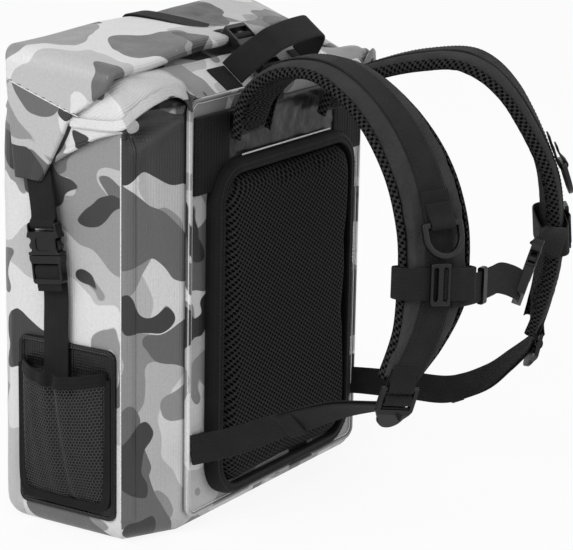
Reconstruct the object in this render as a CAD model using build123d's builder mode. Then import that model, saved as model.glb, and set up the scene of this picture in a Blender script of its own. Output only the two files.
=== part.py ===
"""Roll-top tackle backpack in welded, coated fabric.

Frame: origin on the floor at the middle of the base, +Z up, +Y towards the wearer's back,
X across the width. "near" is the +X side, "far" is the -X side. Millimetres.
"""
from build123d import *
from math import atan2, cos, degrees, radians, sin
import os

os.makedirs("parts", exist_ok=True)

# Bag
HALF_WIDTH = 185.5        # middle to a side wall
FRONT_Y = -80.0
BACK_Y = 78.0
SHOULDER_Z = 362.0        # where the back wall turns in towards the roll
FRONT_SHOULDER_Z = 348.0
MOUTH_BACK = (47.0, 386.0)     # y, z of the mouth's back edge
MOUTH_FRONT = (-62.0, 396.0)
REAR_CHAMFER = (52.0, 26.0)    # x, y legs of the two rear corner strips
FRONT_CORNER_R = 27.0
BASE_R = 17.0
WALL = 2.4

# Closure
DROOP_X = (-125.0, -85.0)      # where the far end starts to hang, at the mouth's front and back
DROOP = (24.2, 40.2)           # how far it has come down at the far wall, front and back
ROLL_T = 10.0
EAR_T = 8.0
EAR_CLEAR = 0.8

# Back panel
PANEL_HALF = 133.4
PANEL_Z = (14.0, 366.0)
PANEL_T = 3.0
PANEL_R = 9.0
PAD_HALF = 109.5
PAD_Z = (22.0, 310.0)
PAD_T = 15.0
PAD_CORNER_R = 34.0
BINDING_W = 9.0
BAND_Z = (287.0, 352.0)
BAND_T = 4.0

# Webbing and hardware
WEB_W = 25.0
WEB_T = 1.6
SLIT = 0.3                # free gap between neighbouring layers
BUCKLE_HALF = 16.3
BUCKLE_T = 9.0
FEMALE_L = 27.0
MALE_L = 24.0
BAR_SIZE = (3.4, 4.0)     # the housing's bar, along the buckle and through it
BAR_V = FEMALE_L - BAR_SIZE[0] / 2
ARM_ROOT = (11.2, -2.2)
ARM_R = 1.9

# Shoulder straps: x, y, z, swing of the width about Z in degrees, width
PAD_THICK = 13.0
ROOT_THICK = 8.0
NEAR_ROUTE = [
    (65, 94, 328, 0, 50),
    (66, 104, 364, 0, 56),
    (68, 136, 388, 2, 62),
    (72, 180, 391, 6, 64),
    (80, 226, 368, 14, 64),
    (88, 262, 330, 24, 64),
    (95, 282, 286, 32, 62),
    (100, 287, 243, 34, 60),
    (103, 286, 226, 35, 58),
    (110, 280, 197, 35, 46),
    (117, 266.5, 165, 33, 34),
]
FAR_ROUTE = [
    (-65, 94, 328, 0, 50),
    (-66, 107, 352, 0, 56),
    (-67, 136, 368, 2, 62),
    (-69.5, 182, 382, 6, 64),
    (-73, 225, 385, 12, 64),
    (-79, 257, 360, 22, 64),
    (-91, 286, 300, 32, 62),
    (-98, 290, 247, 34, 60),
    (-103, 287, 222, 35, 58),
    (-110, 277, 187, 35, 46),
    (-116, 266, 156, 33, 34),
]
RING_STATION = 6
NEAR_LOOP_STATION = 7
FAR_LOOP_STATION = 7
LOCK_STATION = 10
LOCK_TURN = 12.0          # the ladder lock hangs this much straighter than the strap's end


def side_name(side):
    return "near" if side > 0 else "far"


def write(piece, name):
    piece.part.label = name
    export_step(piece.part, f"parts/{name}.step")


# ---------------------------------------------------------------- bag

def footprint(inset):
    """The bag seen from above."""
    x = HALF_WIDTH - inset
    back = BACK_Y - inset
    front = FRONT_Y + inset
    cut_x, cut_y = REAR_CHAMFER
    with BuildSketch() as outline:
        with BuildLine():
            FilletPolyline((0, front), (x, front), (x, 0), radius=FRONT_CORNER_R - inset)
            Polyline((x, 0), (x, back - cut_y), (x - cut_x, back), (0, back))
            mirror(about=Plane.YZ)
        make_face()
    return outline.sketch


def side_profile(inset, top_extra):
    """The bag seen from the side, in Y and Z, with its mouth edge raised by top_extra."""
    with BuildSketch() as outline:
        with BuildLine():
            Polyline(
                (FRONT_Y + inset, inset),
                (BACK_Y - inset, inset),
                (BACK_Y - inset, SHOULDER_Z),
                (MOUTH_BACK[0] - inset, MOUTH_BACK[1] + top_extra),
                (MOUTH_FRONT[0] + inset, MOUTH_FRONT[1] + top_extra),
                (FRONT_Y + inset, FRONT_SHOULDER_Z),
                close=True,
            )
        make_face()
    return outline.sketch


def mouth_edge(x):
    """The front and back points of the mouth's line at x, hanging towards the far wall."""
    ends = []
    for (y, z), start, drop in zip((MOUTH_FRONT, MOUTH_BACK), DROOP_X, DROOP):
        share = max(0, (start - x) / (start + HALF_WIDTH))
        ends.append(Vector(x, y, z - drop * share))
    return ends


TALL = MOUTH_FRONT[1] + 20
MOUTH_CUT = 90.0          # depth of the cut that keeps the mouth open where it hangs
far_front, far_back = mouth_edge(-HALF_WIDTH)
# Everything at the far top corner hangs below this plane.
droop_plane = Plane(
    far_front,
    x_dir=far_back - far_front,
    z_dir=(far_back - far_front).cross(
        Vector(far_front.X - DROOP_X[0], 0, far_front.Z - MOUTH_FRONT[1])
    ),
)

with BuildPart() as cavity:
    with BuildSketch(Plane.XY.offset(WALL)):
        add(footprint(WALL))
    extrude(amount=TALL)
    with BuildSketch(Plane.YZ):
        add(side_profile(WALL, 8))
    extrude(amount=HALF_WIDTH, both=True, mode=Mode.INTERSECT)
    fillet(cavity.faces().sort_by(Axis.Z)[0].edges(), BASE_R - WALL)
    split(bisect_by=droop_plane.offset(-WALL), keep=Keep.BOTTOM)
    with Locations((-HALF_WIDTH / 2, (MOUTH_BACK[0] + MOUTH_FRONT[0]) / 2, TALL - MOUTH_CUT / 2)):
        Box(HALF_WIDTH - 2 * WALL, MOUTH_BACK[0] - MOUTH_FRONT[0] - 2 * WALL, MOUTH_CUT)

with BuildPart() as body_shell:
    with BuildSketch():
        add(footprint(0))
    extrude(amount=TALL)
    with BuildSketch(Plane.YZ):
        add(side_profile(0, 0))
    extrude(amount=HALF_WIDTH, both=True, mode=Mode.INTERSECT)
    fillet(body_shell.faces().sort_by(Axis.Z)[0].edges(), BASE_R)
    split(bisect_by=droop_plane, keep=Keep.BOTTOM)
    add(cavity.part, mode=Mode.SUBTRACT)
write(body_shell, "body_shell")

# A stiff sheet stands inside the back wall and holds the bag's shape.
with BuildPart() as frame_sheet:
    with BuildSketch(Plane.XZ.offset(-(BACK_Y - WALL - 0.2))):
        with Locations((0, 186)):
            RectangleRounded(250, 322, 18)
    extrude(amount=2)
write(frame_sheet, "frame_sheet")

# ---------------------------------------------------------------- rolled mouth

mouth_depth = MOUTH_BACK[0] - MOUTH_FRONT[0]
mouth_slope = atan2(MOUTH_FRONT[1] - MOUTH_BACK[1], mouth_depth)
mouth_mid = Vector(
    0,
    (MOUTH_BACK[0] + MOUTH_FRONT[0]) / 2,
    (MOUTH_BACK[1] + MOUTH_FRONT[1]) / 2,
)
# Local X runs along the mouth, local Y from the front to the back down the slope.
mouth_plane = Plane(mouth_mid, x_dir=(1, 0, 0), z_dir=(0, sin(mouth_slope), cos(mouth_slope)))
FOLD_R = 5.0
fold_height = FOLD_R + 1.2
fold_x = HALF_WIDTH + EAR_CLEAR + EAR_T - FOLD_R
roll_half = fold_x - FOLD_R - 0.5
STIFFENER = (236.0, 30.0, 1.6)
stiffener_place = Location((40, 0))


# Lines that the roll stands on, front to back: near end, start of the droop, far end.
roll_lines = [
    mouth_edge(roll_half),
    (Vector(DROOP_X[0], *MOUTH_FRONT), Vector(DROOP_X[1], *MOUTH_BACK)),
    mouth_edge(-roll_half),
]

with BuildPart() as roll_top:
    for front, back in roll_lines:
        along = (back - front).normalized()
        upright = Plane(
            (front + back) / 2, x_dir=along, z_dir=along.cross(Vector(0, 0, 1))
        )
        with BuildSketch(upright):
            with Locations((0, ROLL_T / 2 + 0.2)):
                SlotOverall((back - front).length, ROLL_T)
    loft(ruled=True)
    with BuildSketch(mouth_plane.offset(ROLL_T / 2)):
        with Locations(stiffener_place):
            Rectangle(STIFFENER[0] + 1, STIFFENER[1] + 1)
    extrude(amount=STIFFENER[2] / 2 + 0.3, both=True, mode=Mode.SUBTRACT)
write(roll_top, "roll_top")

# The mouth's hem carries a flat strip that the fabric is rolled round.
with BuildPart() as roll_stiffener:
    with BuildSketch(mouth_plane.offset(ROLL_T / 2)):
        with Locations(stiffener_place):
            RectangleRounded(STIFFENER[0], STIFFENER[1], 4)
    extrude(amount=STIFFENER[2] / 2, both=True)
write(roll_stiffener, "roll_stiffener")

# Ear: the end of the roll folded down the side wall, narrowing to the webbing.
EAR_TIP = [(-24, 297), (-50, 297)]
EAR_TOP = {
    1: [(-58, 372), (-58, 398), (46, 388.5), (40, 376), (7, 353)],
    -1: [(-58, 356), (-58, 374), (44, 350), (40, 341), (8, 332)],
}


def fold_plane(side):
    """The hinge line along an ear's fold, its normal pointing to the back."""
    front, back = mouth_edge(side * fold_x)
    along = (back - front).normalized()
    middle = (front + back) / 2 + Vector(1, 0, 0).cross(along) * fold_height
    return Plane(middle, x_dir=(1, 0, 0), z_dir=along)


def build_ear(side):
    inner_face = side * (HALF_WIDTH + EAR_CLEAR)
    with BuildPart() as ear:
        with BuildSketch(Plane.YZ.offset(inner_face)) as outline:
            with BuildLine():
                Polyline(*EAR_TOP[side], *EAR_TIP, close=True)
            make_face()
            fillet(outline.vertices().sort_by(Axis.Y)[:5], 4)
        extrude(amount=side * EAR_T)
        with BuildSketch(fold_plane(side)):
            Circle(FOLD_R)
        extrude(amount=mouth_depth / 2 - 3, both=True)
    write(ear, f"ear_{side_name(side)}")


for side in (1, -1):
    build_ear(side)

# ---------------------------------------------------------------- back panel and pad


def panel_outline(half, low, high, corner_r):
    """A panel standing on edge, drawn across and up."""
    with BuildSketch() as outline:
        with Locations((0, (low + high) / 2)):
            RectangleRounded(2 * half, high - low, corner_r)
    return outline.sketch


def facing_back(y):
    """A sketch plane whose X is the row's -X, whose Y is up and whose normal is +Y."""
    return Plane((0, y, 0), x_dir=(-1, 0, 0), z_dir=(0, 1, 0))


def pad_outline(inset):
    return panel_outline(
        PAD_HALF - inset, PAD_Z[0] + inset, PAD_Z[1] - inset, PAD_CORNER_R - inset
    )


PANEL_FACE = BACK_Y + PANEL_T
PIPING_W = 3.0
PIPING_RISE = 1.6

with BuildPart() as back_panel:
    with BuildSketch(facing_back(BACK_Y)):
        add(panel_outline(PANEL_HALF, *PANEL_Z, PANEL_R))
    extrude(amount=PANEL_T)
write(back_panel, "back_panel")

with BuildPart() as panel_piping:
    with BuildSketch(facing_back(PANEL_FACE)):
        add(panel_outline(PANEL_HALF, *PANEL_Z, PANEL_R))
        offset(amount=-PIPING_W, mode=Mode.SUBTRACT)
    extrude(amount=PIPING_RISE)
    fillet(panel_piping.faces().sort_by(Axis.Y)[-1].edges(), 0.8)
write(panel_piping, "panel_piping")

with BuildPart() as back_pad:
    with BuildSketch(facing_back(PANEL_FACE)):
        add(pad_outline(BINDING_W))
    extrude(amount=PAD_T)
    fillet(back_pad.faces().sort_by(Axis.Y)[-1].edges(), 3)
write(back_pad, "back_pad")

with BuildPart() as pad_binding:
    with BuildSketch(facing_back(PANEL_FACE)):
        add(pad_outline(0))
        add(pad_outline(BINDING_W - 0.1), mode=Mode.SUBTRACT)
    extrude(amount=PAD_T - 2)
    fillet(pad_binding.faces().sort_by(Axis.Y)[-1].outer_wire().edges(), 2.5)
write(pad_binding, "pad_binding")

# The band that the shoulder straps are sewn to, with a thick stitched root for each strap.
ROOT_SIZE = (56.0, 16.0, 3.0)
ROOT_Z = 325.0
with BuildPart() as strap_anchor_band:
    with BuildSketch(facing_back(PANEL_FACE)):
        with Locations((0, sum(BAND_Z) / 2)):
            RectangleRounded(2 * (PANEL_HALF - PIPING_W - 1), BAND_Z[1] - BAND_Z[0], 3)
    extrude(amount=BAND_T)
    with BuildSketch(facing_back(PANEL_FACE)):
        add(pad_outline(-SLIT))
    extrude(amount=BAND_T, mode=Mode.SUBTRACT)
    with BuildSketch(facing_back(PANEL_FACE + BAND_T)):
        with Locations((NEAR_ROUTE[0][0], ROOT_Z), (FAR_ROUTE[0][0], ROOT_Z)):
            RectangleRounded(ROOT_SIZE[0], ROOT_SIZE[1], 3)
    extrude(amount=ROOT_SIZE[2])
write(strap_anchor_band, "strap_anchor_band")

# ---------------------------------------------------------------- flat webbing


def webbing(name, runs, loops=()):
    """Webbing made of runs, each an edge-on path in a plane with its bend radius.

    Each loop is a plane centred on a buckle's bar that the webbing is sewn round.
    """
    with BuildPart() as strap:
        for plane, bend, path in runs:
            with BuildSketch(plane):
                with BuildLine():
                    if len(path) > 2:
                        FilletPolyline(*path, radius=bend)
                    else:
                        Line(*path)
                trace(line_width=WEB_T)
            extrude(amount=WEB_W / 2, both=True)
        for plane in loops:
            inner = (BAR_SIZE[0] + 2 * SLIT, BAR_SIZE[1] + 2 * SLIT)
            with BuildSketch(plane):
                RectangleRounded(inner[0] + 2 * WEB_T, inner[1] + 2 * WEB_T, 2)
                RectangleRounded(*inner, 0.6, mode=Mode.SUBTRACT)
            extrude(amount=WEB_W / 2, both=True)
    write(strap, name)


def edge_plane(plane):
    """The plane that shows a buckle edge-on: local X along it, local Y outwards."""
    return Plane(plane.origin, x_dir=plane.y_dir, z_dir=plane.x_dir)


def bar_plane(plane):
    """Edge-on plane centred on the bar of a buckle's housing."""
    edge = edge_plane(plane)
    return Plane(edge.from_local_coords(Vector(BAR_V, 0, 0)), x_dir=edge.x_dir, z_dir=edge.z_dir)


def threading(reach):
    """Edge-on path of webbing laced through a latch's two slots, then off behind it."""
    front = 2.6
    back = -BUCKLE_T / 2 - SLIT - WEB_T / 2
    return [(-9.2, back + 1), (-9.2, front), (-17.6, front), (-17.6, back), (-reach, back)]


# ---------------------------------------------------------------- side-release buckle


def half_outline(*points):
    """A face drawn as one half and mirrored about the buckle's long axis."""
    with BuildSketch() as outline:
        with BuildLine():
            Polyline(*points)
            mirror(about=Plane.YZ)
        make_face()
    return outline.sketch


def build_female(name, plane):
    """Housing: a flat mouth for the latch, a window at each side, and a webbing bar."""
    out = Axis(plane.origin, plane.z_dir)
    with BuildPart() as female:
        with BuildSketch(plane.offset(-BUCKLE_T / 2)) as outline:
            add(half_outline(
                (0, 0), (BUCKLE_HALF, 0), (BUCKLE_HALF, 16), (14.8, 20), (14.8, FEMALE_L),
                (0, FEMALE_L),
            ))
            top_corners = outline.vertices().group_by(Axis.Y)[-1]
            fillet(top_corners.filter_by(lambda v: abs(v.X) > 5), 3.5)
            with Locations((BUCKLE_HALF, 8.2), (-BUCKLE_HALF, 8.2)):
                RectangleRounded(7.4, 12, 2.4, mode=Mode.SUBTRACT)
        extrude(amount=BUCKLE_T)
        fillet(female.faces().sort_by(out)[-1].edges(), 0.9)
        fillet(female.faces().sort_by(out)[0].edges(), 0.9)
        with BuildSketch(plane):
            with Locations((0, 7.5)):
                Rectangle(26.8, 17)
        extrude(amount=2.9, both=True, mode=Mode.SUBTRACT)
        with BuildSketch(plane):
            with Locations((0, BAR_V - BAR_SIZE[0] / 2 - 2.2)):
                RectangleRounded(26.5, 4.4, 1)
        extrude(amount=BUCKLE_T, both=True, mode=Mode.SUBTRACT)
        for face in (1, -1):
            with BuildSketch(plane.offset(face * BAR_SIZE[1] / 2)):
                with Locations((0, FEMALE_L - 1)):
                    Rectangle(25.8, 2 * BAR_SIZE[0] + 2)
            extrude(amount=face * BUCKLE_T, mode=Mode.SUBTRACT)
        with BuildSketch(plane.offset(BUCKLE_T / 2)):
            with Locations((0, 9)):
                RectangleRounded(15, 11, 3)
        extrude(amount=-0.7, mode=Mode.SUBTRACT)
    write(female, name)


def build_male(name, plane):
    """Base with two webbing slots and a toothed bar, a guide pin, and seats for two arms."""
    thick = BUCKLE_T - 1
    out = Axis(plane.origin, plane.z_dir)
    with BuildPart() as male:
        with BuildSketch(plane.offset(-thick / 2)) as outline:
            add(half_outline(
                (0, -0.4), (BUCKLE_HALF, -0.4), (BUCKLE_HALF, -4), (15, -7), (15, -MALE_L),
                (0, -MALE_L),
            ))
            low_corners = outline.vertices().group_by(Axis.Y)[0]
            fillet(low_corners.filter_by(lambda v: abs(v.X) > 5), 3)
        extrude(amount=thick)
        fillet(male.faces().sort_by(out)[-1].edges(), 0.8)
        fillet(male.faces().sort_by(out)[0].edges(), 0.8)
        with BuildSketch(plane):
            with Locations((0, -9.2), (0, -17.6)):
                Rectangle(26, 4.4)
        extrude(amount=thick, both=True, mode=Mode.SUBTRACT)
        with BuildSketch(plane.offset(1.4)):
            with Locations((0, -13.4)):
                Rectangle(26.2, 4.2)
        extrude(amount=thick, mode=Mode.SUBTRACT)
        with BuildSketch(plane):
            for u in (ARM_ROOT[0], -ARM_ROOT[0]):
                with Locations((u, ARM_ROOT[1])):
                    Circle(ARM_R + 0.3)
                with Locations((u, ARM_ROOT[1] / 2)):
                    Rectangle(2 * (ARM_R + 0.3), -ARM_ROOT[1])
        extrude(amount=2.7, both=True, mode=Mode.SUBTRACT)
        with BuildSketch(plane):
            add(half_outline((0, -1), (2.6, -1), (2.6, 11), (1.4, 14), (0, 14)))
        extrude(amount=2.3, both=True)
    write(male, name)


def build_arm(name, plane, hand):
    """One latch arm: a round root in its seat, a thin beam and a barbed head."""
    u, v = ARM_ROOT
    with BuildPart() as arm:
        with BuildSketch(plane):
            with BuildLine():
                Polyline(
                    (hand * 10, v), (hand * 12.5, v), (hand * 12.5, 4.4), (hand * 15.3, 5),
                    (hand * 15.9, 8), (hand * 13.2, 11.9), (hand * 11.2, 13.4),
                    (hand * 10, 12.6), close=True,
                )
            make_face()
            with Locations((hand * u, v)):
                Circle(ARM_R)
        extrude(amount=2.4, both=True)
    write(arm, name)


def build_buckle(name, plane):
    build_female(f"{name}_female", plane)
    build_male(f"{name}_male", plane)
    build_arm(f"{name}_arm_a", plane, 1)
    build_arm(f"{name}_arm_b", plane, -1)


# ---------------------------------------------------------------- sides

POCKET_Y = (-52.0, 47.0)
POCKET_Z = (19.0, 165.0)
NET_Y = (-46.0, 39.0)
NET_Z = (31.0, 142.0)
NET_BULGE = 27.0
SIDE_BUCKLE_Y = -16.0
SIDE_BUCKLE_Z = 238.5
SIDE_BUCKLE_TILT = 8.0        # degrees, top towards the front
SIDE_BUCKLE_LIFT = 8.0        # side wall to the buckle's middle


def build_pocket_patch(side):
    """Welded patch with a raised rim that carries the net."""
    wide = POCKET_Y[1] - POCKET_Y[0]
    tall = POCKET_Z[1] - POCKET_Z[0]
    middle = (sum(POCKET_Y) / 2, sum(POCKET_Z) / 2)
    with BuildPart() as patch:
        with BuildSketch(Plane.YZ.offset(side * HALF_WIDTH)):
            with Locations(middle):
                RectangleRounded(wide, tall, 8)
        extrude(amount=side * 1.4)
        with BuildSketch(Plane.YZ.offset(side * (HALF_WIDTH + 1.4))):
            with Locations(middle):
                RectangleRounded(wide, tall, 8)
                RectangleRounded(wide - 7, tall - 7, 5, mode=Mode.SUBTRACT)
        extrude(amount=side * 1.4)
    write(patch, f"pocket_patch_{side_name(side)}")


def bulge(side, base, rise, y_low, y_high):
    """The net seen from above: flat against the wall, bowed outwards."""
    x = side * base
    flank = x + side * rise * 0.45
    with BuildSketch() as outline:
        with BuildLine():
            Polyline((flank, y_low), (x, y_low), (x, y_high), (flank, y_high))
            ThreePointArc(
                (flank, y_high), (x + side * rise, (y_low + y_high) / 2), (flank, y_low)
            )
        make_face()
    return outline.sketch


def build_pocket_net(side):
    """Open-topped net pouch, closed at its foot and sides."""
    base = HALF_WIDTH + 1.5
    skin = 1.6
    with BuildPart() as net:
        with BuildSketch(Plane.XY.offset(NET_Z[0])):
            add(bulge(side, base, NET_BULGE, *NET_Y))
        extrude(amount=NET_Z[1] - NET_Z[0])
        outer = net.faces().sort_by(Axis.Z)[0].edges().sort_by(Axis.X)
        fillet(outer[-1] if side > 0 else outer[0], 8)
        with BuildSketch(Plane.XY.offset(NET_Z[0] + skin)):
            add(bulge(side, base - 1, NET_BULGE - skin + 1, NET_Y[0] + skin, NET_Y[1] - skin))
        extrude(amount=NET_Z[1], mode=Mode.SUBTRACT)
    write(net, f"pocket_net_{side_name(side)}")


def build_side(side):
    name = side_name(side)
    build_pocket_patch(side)
    build_pocket_net(side)
    tilt = radians(SIDE_BUCKLE_TILT)
    buckle_x = side * (HALF_WIDTH + SIDE_BUCKLE_LIFT)
    up = Vector(0, -sin(tilt), cos(tilt))
    out = Vector(side, 0, 0)
    buckle_plane = Plane(
        (buckle_x, SIDE_BUCKLE_Y, SIDE_BUCKLE_Z), x_dir=up.cross(out), z_dir=out
    )
    build_buckle(f"side_buckle_{name}", buckle_plane)
    # Tab from the ear's tip down to the housing's bar, edge-on in a plane tilted in Y.
    tab_top = Vector(side * (HALF_WIDTH + EAR_CLEAR + EAR_T + SLIT + WEB_T / 2), -37, 312)
    bar = bar_plane(buckle_plane)
    run = Vector(0, bar.origin.Y - tab_top.Y, bar.origin.Z - tab_top.Z)
    tab_plane = Plane(tab_top, x_dir=run, z_dir=Vector(side, 0, 0).cross(run))
    inset = bar.origin.X - tab_top.X
    inset = tab_plane.to_local_coords(tab_top + Vector(inset, 0, 0)).Y
    reach = run.length - BAR_SIZE[0] / 2 - SLIT - WEB_T / 2
    webbing(
        f"ear_tab_{name}",
        [
            (tab_plane, 3, [(0, 0), (reach * 0.4, 0), (reach * 0.7, inset), (reach - 5, inset)]),
            (bar, 0, [(run.length - reach, 0), (11, 0)]),
        ],
        loops=[bar],
    )
    # Lower webbing from the latch's bars into the pocket, where it is sewn to the patch.
    edge = edge_plane(buckle_plane)
    back = threading(1)[-1][1]
    foot = edge.from_local_coords(Vector(-MALE_L - 3, back, 0))
    patch_face = side * (HALF_WIDTH + 2.8 + SLIT + WEB_T / 2)
    webbing(
        f"side_webbing_{name}",
        [
            (edge, 1, threading(MALE_L + 6)),
            (
                Plane((0, foot.Y, 0), x_dir=(1, 0, 0), z_dir=(0, -1, 0)),
                3,
                [(foot.X, foot.Z + 4), (foot.X, foot.Z - 10), (patch_face, foot.Z - 36),
                 (patch_face, 118)],
            ),
        ],
    )


for side in (1, -1):
    build_side(side)

# ---------------------------------------------------------------- top strap and handle

TOP_STRAP_X = 12.0
top_plane = Plane((TOP_STRAP_X, 0, 0), x_dir=(0, 1, 0), z_dir=(1, 0, 0))
top_tilt = atan2(SHOULDER_Z - MOUTH_BACK[1], BACK_Y - MOUTH_BACK[0])
top_down = Vector(0, cos(top_tilt), sin(top_tilt))
top_out = Vector(0, -sin(top_tilt), cos(top_tilt))
top_buckle = Plane((TOP_STRAP_X, 58, 392), x_dir=top_down.cross(top_out), z_dir=top_out)
build_buckle("top_buckle", top_buckle)

over_roll = ROLL_T + 0.2 + SLIT + WEB_T / 2
front_face = FRONT_Y - 1.4 - SLIT - WEB_T / 2
top_edge = edge_plane(top_buckle)
top_lace = threading(MALE_L + 2)
lace_end = top_edge.from_local_coords(Vector(*top_lace[-1], 0))
webbing(
    "top_strap",
    [
        (
            top_plane,
            6,
            [
                (front_face, 306),
                (front_face, FRONT_SHOULDER_Z),
                (MOUTH_FRONT[0] - 4, MOUTH_FRONT[1] + over_roll + 1),
                (MOUTH_BACK[0] - 30, MOUTH_BACK[1] + over_roll + 5),
                (lace_end.Y, lace_end.Z),
            ],
        ),
        (top_edge, 1, top_lace),
    ],
)
top_bar = bar_plane(top_buckle)
bar_exit = top_bar.origin + top_down * (BAR_SIZE[0] / 2 + SLIT + WEB_T)
panel_layer = PANEL_FACE + PIPING_RISE + SLIT + WEB_T / 2
webbing(
    "top_strap_rear",
    [
        (
            top_plane,
            2,
            [
                (bar_exit.Y, bar_exit.Z),
                (panel_layer, PANEL_Z[1] + 2.5),
                (panel_layer, BAND_Z[1] + 0.6),
            ],
        )
    ],
    loops=[top_bar],
)

with BuildPart() as front_patch:
    with BuildSketch(Plane.XZ.offset(-FRONT_Y)):
        with Locations((TOP_STRAP_X, 312)):
            RectangleRounded(48, 44, 8)
    extrude(amount=1.4)
write(front_patch, "front_patch")

# The handle lies along the bag's sloping shoulder and arches away from it, its crown
# towards the far side. Its plane holds X and the slope's normal.
HANDLE_HALF = 57.0
HANDLE_RISE = 44.0
HANDLE_PLACE = 0.42       # share of the slope, from its lower edge
slope_foot = Vector(0, BACK_Y, SHOULDER_Z)
slope_rise = Vector(0, MOUTH_BACK[0] - BACK_Y, MOUTH_BACK[1] - SHOULDER_Z)
handle_seat = slope_foot + slope_rise * HANDLE_PLACE + top_out * (SLIT + WEB_T / 2)
handle_plane = Plane(handle_seat, x_dir=(1, 0, 0), z_dir=top_down * -1)
HANDLE_FOOT = 4.5         # the arch starts this far off the slope, clear as it flops
webbing(
    "grab_handle",
    [
        (
            handle_plane,
            5,
            [
                (HANDLE_HALF - 3, HANDLE_FOOT),
                (HANDLE_HALF - 20, HANDLE_RISE - 16),
                (0, HANDLE_RISE),
                (-HANDLE_HALF + 18, HANDLE_RISE),
                (-HANDLE_HALF + 1, HANDLE_FOOT),
            ],
        )
    ],
)
for side in (1, -1):
    webbing(
        f"handle_root_{side_name(side)}",
        [(handle_plane, 0, [(side * (HANDLE_HALF + 16), 0), (side * (HANDLE_HALF - 8), 0)])],
    )

# ---------------------------------------------------------------- shoulder harness


def strap_route(side):
    return NEAR_ROUTE if side > 0 else FAR_ROUTE


def strap_frame(side, station):
    """Centre point, width direction, travel direction and outward normal at a station."""
    route = strap_route(side)
    x, y, z, swing, _ = route[station]
    before = route[max(station - 1, 0)]
    after = route[min(station + 1, len(route) - 1)]
    travel = (Vector(*after[:3]) - Vector(*before[:3])).normalized()
    turn = radians(swing)
    across = Vector(cos(turn), -side * sin(turn), 0)
    across = (across - travel * across.dot(travel)).normalized()
    return Vector(x, y, z), across, travel, across.cross(travel)


def face_plane(side, station, height, along=0, aside=0):
    """On the strap's outer side: local X across, local Y down the strap, normal outwards."""
    middle, across, travel, out = strap_frame(side, station)
    origin = middle + out * height + travel * along + across * aside
    return Plane(origin, x_dir=across, z_dir=out)


def build_shoulder_pad(side):
    with BuildPart() as pad:
        for station, point in enumerate(strap_route(side)):
            middle, across, travel, _ = strap_frame(side, station)
            with BuildSketch(Plane(middle, x_dir=across, z_dir=travel)):
                SlotOverall(point[4], PAD_THICK if station else ROOT_THICK)
        loft()
    write(pad, f"shoulder_pad_{side_name(side)}")


PAD_WEB_HEIGHT = PAD_THICK / 2 + 3 + WEB_T / 2
RING_BAR_R = 2.3
RING_HALF = 15.4
RING_STRAIGHT = 9.0       # from the bar to the start of the bow
RING_LIFT = PAD_WEB_HEIGHT + WEB_T / 2 + 4
LOCK_BAR_R = 1.7
LOCK_DROP = 3.0


def build_pad_webbing(side):
    """Webbing down the strap's middle, with sewn loops for the ring and the ladder lock."""
    lock = lock_plane(side)
    with BuildPart() as strap:
        for station in range(1, len(strap_route(side))):
            middle, across, travel, out = strap_frame(side, station)
            centre = middle + out * PAD_WEB_HEIGHT
            if station == LOCK_STATION:
                across, travel = lock.x_dir, lock.y_dir
            with BuildSketch(Plane(centre, x_dir=across, z_dir=travel)):
                Rectangle(WEB_W, WEB_T)
        loft()
        ring = face_plane(side, RING_STATION, RING_LIFT)
        with BuildSketch(Plane(ring.origin, x_dir=ring.z_dir, z_dir=ring.x_dir)):
            Circle(RING_BAR_R + 2.1)
            Circle(RING_BAR_R + 0.6, mode=Mode.SUBTRACT)
        extrude(amount=10.5, both=True)
        with BuildSketch(Plane(lock.origin, x_dir=lock.z_dir, z_dir=lock.x_dir)):
            Circle(LOCK_BAR_R + 1.7)
            Circle(LOCK_BAR_R + 0.3, mode=Mode.SUBTRACT)
        extrude(amount=11.5, both=True)
    write(strap, f"pad_webbing_{side_name(side)}")


def lock_plane(side):
    """Where the ladder lock hangs: origin on its top bar, local Y down the lock."""
    plane = face_plane(side, LOCK_STATION, PAD_WEB_HEIGHT, along=LOCK_DROP)
    turn = radians(LOCK_TURN)
    across = plane.x_dir * cos(turn) + plane.y_dir * side * sin(turn)
    return Plane(plane.origin, x_dir=across, z_dir=plane.z_dir)


def ring_outline(half, low):
    """A bow on a straight bar, drawn across and down the strap."""
    Polyline((-half, RING_STRAIGHT), (-half, low), (half, low), (half, RING_STRAIGHT))
    ThreePointArc(
        (half, RING_STRAIGHT), (0, RING_STRAIGHT + half), (-half, RING_STRAIGHT)
    )


def build_ring(side):
    """D-ring whose straight bar lies in the loop of the pad's webbing."""
    plane = face_plane(side, RING_STATION, RING_LIFT)
    with BuildPart() as ring:
        with BuildSketch(plane.offset(-RING_BAR_R)):
            with BuildLine():
                ring_outline(RING_HALF, 0)
            make_face()
            offset(amount=RING_BAR_R)
            with BuildLine():
                ring_outline(RING_HALF - RING_BAR_R, RING_BAR_R)
            make_face(mode=Mode.SUBTRACT)
        extrude(amount=2 * RING_BAR_R)
        out = Axis(plane.origin, plane.z_dir)
        fillet(ring.faces().sort_by(out)[-1].edges(), 1.2)
        fillet(ring.faces().sort_by(out)[0].edges(), 1.2)
    write(ring, f"d_ring_{side_name(side)}")


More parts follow.
